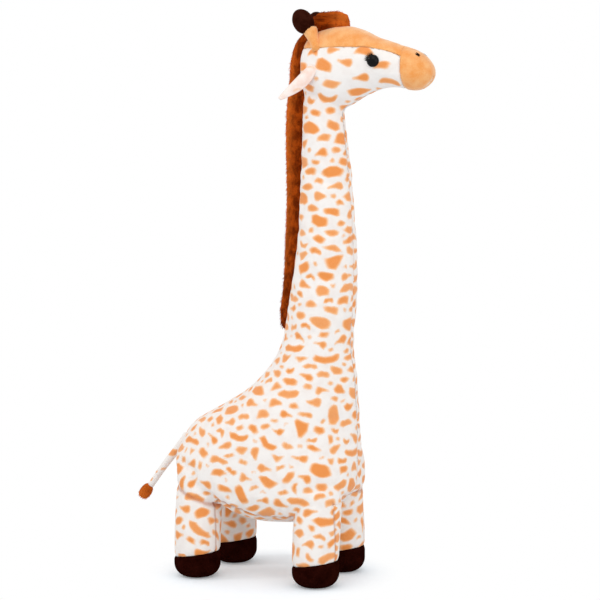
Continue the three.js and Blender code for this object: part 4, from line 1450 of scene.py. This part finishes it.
def lash_form(origin, outward):
    """Long and short hairs in turn, from over an eye round to behind it."""
    rng = np.random.default_rng(8)
    ahead = Vector((0, 0, 1)).cross(outward).normalized()
    ahead *= math.copysign(1, ahead.x)
    up = outward.cross(ahead).normalized()
    up *= math.copysign(1, up.z)
    roots, ways = [], []
    for turn in map(math.radians, np.linspace(96, 178, LASHES)):
        way = math.cos(turn) * ahead + math.sin(turn) * up
        roots.append(origin + way * 8.8 + outward * 0.4)
        ways.append(way + outward * rng.uniform(0.2, 0.45) + up * 0.25)
    lengths = np.where(np.arange(LASHES) % 2, 3.4, 5.4)
    points, faces, _ = strands(np.array(roots), np.array(ways), lengths, 1.2, rng, rows=4)
    return points, faces


def nostril_form(side):
    """Two slanting stitches beside each other."""
    stitches = []
    for n, shift in enumerate((-0.7, 0.7)):
        point, out = head_at(NOSTRIL_REACH + 0.3 * n, NOSTRIL_HEIGHT + shift, side)
        way = (0.8, 0.05 * side, -0.5 - 0.1 * n)
        stitches.append(placed(turned(STITCH_PROFILE, 12), point + out * 0.3, way, out))
    return joined(*stitches)


class GIRAFFE_OT_eyes(bpy.types.Operator):
    """Makes the glossy button eyes, their lashes and the stitched nostrils"""

    bl_idname = "giraffe.eyes"
    bl_label = "Eyes and nostrils"

    def execute(self, context):
        for name, side in SIDES:
            origin, outward = head_at(EYE_REACH, HEAD_HEIGHT + EYE_RISE, side)
            eye = make_mesh("eye", *placed(button_form(), origin, outward, (0, 0, 1)))
            show(f"{name.title()}_eye", eye, "giraffe", "eye", [f"{name}_eye"])
            lash = make_mesh("lash", *lash_form(origin, outward))
            nodes = [f"{name}_eyelash"]
            show(f"{name.title()}_eyelash", lash, "giraffe", "lash", nodes)
            nostril = make_mesh("nostril", *nostril_form(side))
            show(f"{name.title()}_nostril", nostril, "giraffe", "lash")
            # The washer is shown as the CAD has it, in a plastic of its own
            for slot in frame["nodes"][f"{name}_eye_washer"].material_slots:
                slot.link = "OBJECT"
                slot.material = materials(context.scene)["washer"]
        return {"FINISHED"}


EAR_LENGTH = 70
# Half widths at the root, at the middle and at the tip
EAR_WIDTHS = (5.5, 10.5, 2.5)
EAR_DROOP = math.radians(49)
EAR_SPREAD = math.radians(26)
EAR_ROWS = 36
EAR_COLUMNS = 16
PLY_GAP = 0.1


def ear_face(along, across, lift):
    """One face of the cupped ear, in its own frame: out along it, across it and off its face."""
    swell = np.sin(math.pi * along**0.75) ** 0.8
    root, middle, tip = EAR_WIDTHS
    half = root + (tip - root) * along + (middle - (root + tip) / 2) * swell
    cup = -(7.5 * np.sin(math.pi * along**0.8) + 2) * across**2
    puff = np.sqrt(np.maximum(0, 1 - across**2)) * np.sin(math.pi * (0.25 + 0.75 * along))
    ply = 0.5 + 1.9 * puff
    wrinkle = 0.5 * np.sin(9 * across + 5 * along) * (1 - along) ** 2
    face = np.stack([EAR_LENGTH * along, half * across, cup + lift * ply + wrinkle], -1)
    return face.reshape(-1, 3)


def ply_form(lift):
    """One ply of an ear, in the ear's own frame: its outer face, its inner face and the rim."""
    along = np.linspace(0, 1, EAR_ROWS)
    across = np.cos(np.linspace(math.pi, 0, EAR_COLUMNS))
    along, across = np.meshgrid(along, across, indexing="ij")
    outer = ear_face(along, across, lift)
    inner = ear_face(along, across, 0) + (0, 0, lift * PLY_GAP)
    grid = np.arange(along.size).reshape(along.shape)
    corners = (grid[:-1, :-1], grid[:-1, 1:], grid[1:, 1:], grid[1:, :-1])
    top = np.stack([corner.ravel() for corner in corners], 1)
    bottom = top[:, ::-1] + grid.size
    rim = np.concatenate([grid[0], grid[1:, -1], grid[-1, -2::-1], grid[-2:0:-1, 0]])
    after = np.roll(rim, -1)
    edge = np.stack([after, rim, rim + grid.size, after + grid.size], 1)
    return np.concatenate([outer, inner]), np.concatenate([top, bottom, edge]).tolist()


def ear_axes(side, hinge):
    """Directions out along a drooping ear, across it and off its back, as rows."""
    level = math.cos(EAR_SPREAD)
    out = Vector((-math.cos(EAR_DROOP) * level, side * math.sin(EAR_SPREAD), -math.sin(EAR_DROOP) * level))
    out.normalize()
    wide = -hinge.normalized()
    return np.array((out, wide, out.cross(wide).normalized()))


class GIRAFFE_OT_ears(bpy.types.Operator):
    """Sews the two ears, printed behind and lined in pink"""

    bl_idname = "giraffe.ears"
    bl_label = "Ears"

    def execute(self, context):
        for name, side in SIDES:
            seat, hinge = joint_of(f"{name}_ear_flap")
            axes = ear_axes(side, hinge)
            for part, lift, look, slot in (
                ("back", 1, "ear", "printed_plush"),
                ("lining", -1, "lining", "ear_lining"),
            ):
                points, faces = ply_form(lift)
                mesh = make_mesh(f"ear_{part}", points @ axes + seat, faces)
                if part == "back":
                    print_on(mesh, context.scene.giraffe_print, seed=91 + side, scale=0.5, fade=1.6)
                nodes = [f"{name}_ear_{part}"]
                show(f"{name.title()}_ear_{part}", mesh, f"{name}_ear", look, nodes)
        return {"FINISHED"}


def nape_at(height):
    """The reach of the back of the neck at each height."""
    return curve_through(BODY_ROWS, height)[:, 0]


def mane_form():
    rings = []
    across, round_it = turns(FUR_COLUMNS, 2.3)
    for along in np.linspace(MANE_ROWS[0][0] + 0.004, MANE_ROWS[-1][0] - 0.002, 90):
        out, sunk, half = curve_through(MANE_ROWS, along)[0]
        height = NECK_SEAM_HEIGHT + (HEAD_HEIGHT - NECK_SEAM_HEIGHT) * along
        out -= MANE_TRIM[0]
        # It widens over the back of the head
        half += 5 * ease(along, 0.95, 1.03) - MANE_TRIM[1]
        x = nape_at(height)[0] + (sunk - out) / 2 + (sunk + out) / 2 * across
        rings.append(np.stack([x, half * round_it, np.full(FUR_COLUMNS, height)], 1))
    return loft(rings, rings[0].mean(0) - (0, 0, 1.5), rings[-1].mean(0) + (0, 0, 1.5))


class GIRAFFE_OT_mane(bpy.types.Operator):
    """Grows the fur of the mane down the back of the neck"""

    bl_idname = "giraffe.mane"
    bl_label = "Mane"

    def execute(self, context):
        def behind(points):
            return nape_at(points[:, 2]) - points[:, 0]

        def comb(points, facing):
            return facing * (0.6, 0.5, 0.35) + (-0.1, 0, -1.0)

        # Painted light and shade: the mane is painted darker next to the neck and lighter out at its back
        # edge, where the light catches it
        def light_and_shade(points):
            return 0.08 + 0.92 * ease(behind(points), 6, 27)

        def keep(points):
            return behind(points) > -1

        mesh = hairy("mane", mane_form(), context.scene.giraffe_fur, 21, comb, light_and_shade, keep)
        show("Mane", mesh, "giraffe", "fur", ["mane"])
        return {"FINISHED"}


def forelock_form():
    rings = []
    across, up = turns(FUR_COLUMNS, 2.5)
    for reach in np.linspace(FORELOCK_ROWS[0][0], FORELOCK_ROWS[-1][0], 30):
        rise, half = curve_through(FORELOCK_ROWS, reach)[0] - FORELOCK_TRIM
        z = crown_at(reach, 0) + (rise - FORELOCK_SINK) / 2 + (rise + FORELOCK_SINK) / 2 * up
        rings.append(np.stack([np.full(FUR_COLUMNS, reach), half * across, z], 1))
    return loft(rings, rings[0].mean(0) - (1, 0, 0), rings[-1].mean(0) + (1, 0, 0))


class GIRAFFE_OT_forelock(bpy.types.Operator):
    """Grows the tuft of fur between the horns"""

    bl_idname = "giraffe.forelock"
    bl_label = "Forelock"

    def execute(self, context):
        # Swept forwards over the crown and down at its front
        def comb(points, facing):
            front = ease(points[:, 0], 106, 116)[:, None]
            swept = facing * 0.3 + (1.1, 0, 0.2)
            return swept * (1 - front) + (facing * 0.3 + (0.1, 0, -0.9)) * front

        # Painted light and shade: the forelock is painted darker at its back and lighter at its front and on
        # its top, where the light falls
        def light_and_shade(points):
            return 0.08 + 0.75 * ease(points[:, 0], 88, 118) + 0.2 * ease(points[:, 2], 838, 844)

        form, settings = forelock_form(), context.scene.giraffe_fur
        mesh = hairy("forelock", form, settings, 31, comb, light_and_shade, length=1.1)
        show("Forelock", mesh, "giraffe", "swept", ["forelock"])
        return {"FINISHED"}


TAIL_DIP = math.radians(52)
TAIL_LENGTH = 101
TAIL_RADIUS = 6.4
TAIL_TAPER = 1.5
# Radius and height round the tuft
TUFT_PROFILE = [(0, 0), (4.2, 0.4), (7.6, 4), (9.0, 9), (9.2, 15), (8.2, 20), (5.4, 23.6), (0, 25)]


def tail_form():
    """The sewn tube of the tail with a domed root, drawn in where it is sewn on, and a little uneven."""
    profile = [(0, -TAIL_RADIUS)]
    for turn in np.linspace(-1.35, 0, 8):
        profile.append((TAIL_RADIUS * math.cos(turn), TAIL_RADIUS * math.sin(turn)))
    for height in np.linspace(4, TAIL_LENGTH - 1, 36):
        drawn = 0.9 * beside(height - 7, 6) + TAIL_TAPER * height / TAIL_LENGTH
        profile.append((TAIL_RADIUS - drawn, height))
    profile += [(4.0, TAIL_LENGTH + 0.2), (0, TAIL_LENGTH + 0.3)]
    points, faces = turned(profile, 28)
    points[:, 0] += 0.5 * np.sin(points[:, 2] / 13)
    points += 0.22 * ripple(points, 9, 12)[:, None] * (1, 1, 0)
    return points, faces


def tuft_form():
    """The round form under the fur of the tuft."""
    rows = [(i, *pair) for i, pair in enumerate(TUFT_PROFILE)]
    dense = curve_through(rows, np.linspace(0, len(rows) - 1, 22))[1:-1]
    dense = [(max(radius, 0.5), height) for radius, height in dense]
    return turned([TUFT_PROFILE[0], *dense, TUFT_PROFILE[-1]], 24)


class GIRAFFE_OT_tail(bpy.types.Operator):
    """Sews the printed tail and its fur tuft, which swing from the rump"""

    bl_idname = "giraffe.tail"
    bl_label = "Tail"

    def execute(self, context):
        scene = context.scene
        seat, _ = joint_of("tail_swing")
        along = (-math.cos(TAIL_DIP), 0, -math.sin(TAIL_DIP))
        mesh = make_mesh("tail", *placed(tail_form(), seat, along, FORWARDS))
        print_on(mesh, scene.giraffe_print, seed=60, scale=0.7, fade=1.0)
        nodes = ["tail_skin", "tail_stuffing"]
        show("Tail", mesh, "tail", "print", nodes)

        way = np.array(along)
        start = seat + way * TAIL_LENGTH

        def comb(points, facing):
            return facing * 0.45 + way * 0.8

        # Painted shade: the tuft is painted darker at its root, where it meets the tail
        def light_and_shade(points):
            return 0.7 + 0.3 * ease((points - start) @ way, 4, 22)

        tuft = placed(tuft_form(), start, along, FORWARDS)
        mesh = hairy("tuft", tuft, scene.giraffe_fur, 41, comb, light_and_shade, length=0.6)
        show("Tail_tuft", mesh, "tail", "fur", ["tail_tuft"])
        return {"FINISHED"}


PIECES = [
    GIRAFFE_OT_skin,
    GIRAFFE_OT_legs,
    GIRAFFE_OT_hooves,
    GIRAFFE_OT_horns,
    GIRAFFE_OT_eyes,
    GIRAFFE_OT_ears,
    GIRAFFE_OT_mane,
    GIRAFFE_OT_forelock,
    GIRAFFE_OT_tail,
]


# The stage, in metres
FLOOR_HALF = 4
# How far from the middle of the legs the floor starts to glow, and where it is all white
GLOW_START = 0.125
GLOW_END = 0.2
LAMP_AIM = (0, 0, 0.4)
CAMERA_TURN = math.radians(23)
CAMERA_REACH = 3.0
CAMERA_HEIGHT = 0.640
AIM_HEIGHT = 0.416
AIM_ACROSS = 0.042


def studio_world(stage):
    """A white world that gives less light than it shows."""
    world = Shader(bpy.data.worlds.new("Studio"))
    light = stage.ambient + world.seen() * (1.0 - stage.ambient)
    sockets = {"Color": (1, 1, 1, 1), "Strength": light}
    return world.surface(world.node("ShaderNodeBackground", None, sockets))


def studio_floor(stage):
    """A pale floor that takes shadows under the toy and is plain white further out."""
    mesh = bpy.data.meshes.new("floor")
    half = FLOOR_HALF
    corners = [(-half, -half, 0), (half, -half, 0), (half, half, 0), (-half, half, 0)]
    mesh.from_pydata(corners, [], [(0, 1, 2, 3)])
    floor = new_object("Floor", mesh)
    floor.location.x = -AHEAD * MM
    shader = new_shader("Floor")
    seen = shader.seen()
    paint = shader.node("ShaderNodeBsdfDiffuse", None, {"Color": colour(rgb(233, 240, 246))})
    lifted = shader.node("ShaderNodeAddShader", None, {0: paint, 1: shader.glow(stage.lift)})
    paint = shader.blend(paint, lifted, seen)
    reach = shader.vector("LENGTH", shader.place(), output=1)
    far = shader.ramp(reach, GLOW_START, GLOW_END) * seen
    mesh.materials.append(shader.surface(shader.blend(paint, shader.glow(1.0), far)))


def aim(thing, place, target):
    """Puts a lamp or a camera in its place and turns it towards a point."""
    thing.location = place
    thing.rotation_euler = (Vector(target) - Vector(place)).to_track_quat("-Z", "Y").to_euler()


def studio_lamps(stage):
    """A soft key lamp and fill from the giraffe's right, and a small one that the eyes catch."""
    for name, watts, size, place in (
        ("Key", stage.key, 1.8, (0.5, -1.9, 2.7)),
        ("Fill", stage.fill, 2.0, (2.3, -1.6, 1.3)),
        ("Catch", stage.catch, 0.4, (-2.1, -1.25, 2.3)),
    ):
        lamp = bpy.data.lights.new(name, "AREA")
        lamp.energy, lamp.size = watts, size
        aim(new_object(name, lamp), place, LAMP_AIM)


def studio_camera():
    """A long lens, looking from the giraffe's right and a little from its front."""
    across = Vector((math.cos(CAMERA_TURN), math.sin(CAMERA_TURN), 0))
    away = Vector((-math.sin(CAMERA_TURN), math.cos(CAMERA_TURN), 0))
    target = Vector((-AHEAD * MM, 0, AIM_HEIGHT)) + across * AIM_ACROSS
    place = target - away * CAMERA_REACH
    place.z = CAMERA_HEIGHT
    lens = bpy.data.cameras.new("Camera")
    lens.lens, lens.sensor_width = 120, 36
    camera = new_object("Camera", lens)
    aim(camera, place, target)
    return camera


class GIRAFFE_OT_stage(bpy.types.Operator):
    """Sets up the floor, the lamps and the camera"""

    bl_idname = "giraffe.stage"
    bl_label = "Stage"

    def execute(self, context):
        scene = context.scene
        scene.world = studio_world(scene.giraffe_stage)
        studio_floor(scene.giraffe_stage)
        studio_lamps(scene.giraffe_stage)
        scene.camera = studio_camera()
        scene.view_settings.view_transform = "Standard"
        return {"FINISHED"}


class GIRAFFE_PT_panel(bpy.types.Panel):
    """Lists the settings and the pieces of the giraffe"""

    bl_label = "Plush Giraffe"
    bl_space_type = "VIEW_3D"
    bl_region_type = "UI"
    bl_category = "Giraffe"

    def draw(self, context):
        for name, kind in GROUPS.items():
            box = self.layout.box()
            box.label(text=kind.__doc__)
            for setting in kind.__annotations__:
                box.prop(getattr(context.scene, name), setting)
        for piece in (*PIECES, GIRAFFE_OT_stage):
            self.layout.operator(piece.bl_idname)


GROUPS = {
    "giraffe_skin": GiraffeSkin,
    "giraffe_print": GiraffePrint,
    "giraffe_cloth": GiraffeCloth,
    "giraffe_fur": GiraffeFur,
    "giraffe_stage": GiraffeStage,
}


def register():
    for kind in (*GROUPS.values(), *PIECES, GIRAFFE_OT_stage, GIRAFFE_PT_panel):
        bpy.utils.register_class(kind)
    for name, kind in GROUPS.items():
        setattr(bpy.types.Scene, name, PointerProperty(type=kind))


def unregister():
    for name in GROUPS:
        delattr(bpy.types.Scene, name)
    for kind in (GIRAFFE_PT_panel, GIRAFFE_OT_stage, *reversed(PIECES), *GROUPS.values()):
        bpy.utils.unregister_class(kind)


def main():
    register()
    for piece in PIECES:
        getattr(bpy.ops.giraffe, piece.bl_idname.split(".")[1])()
    bpy.ops.giraffe.stage()


if __name__ == "__main__":
    main()
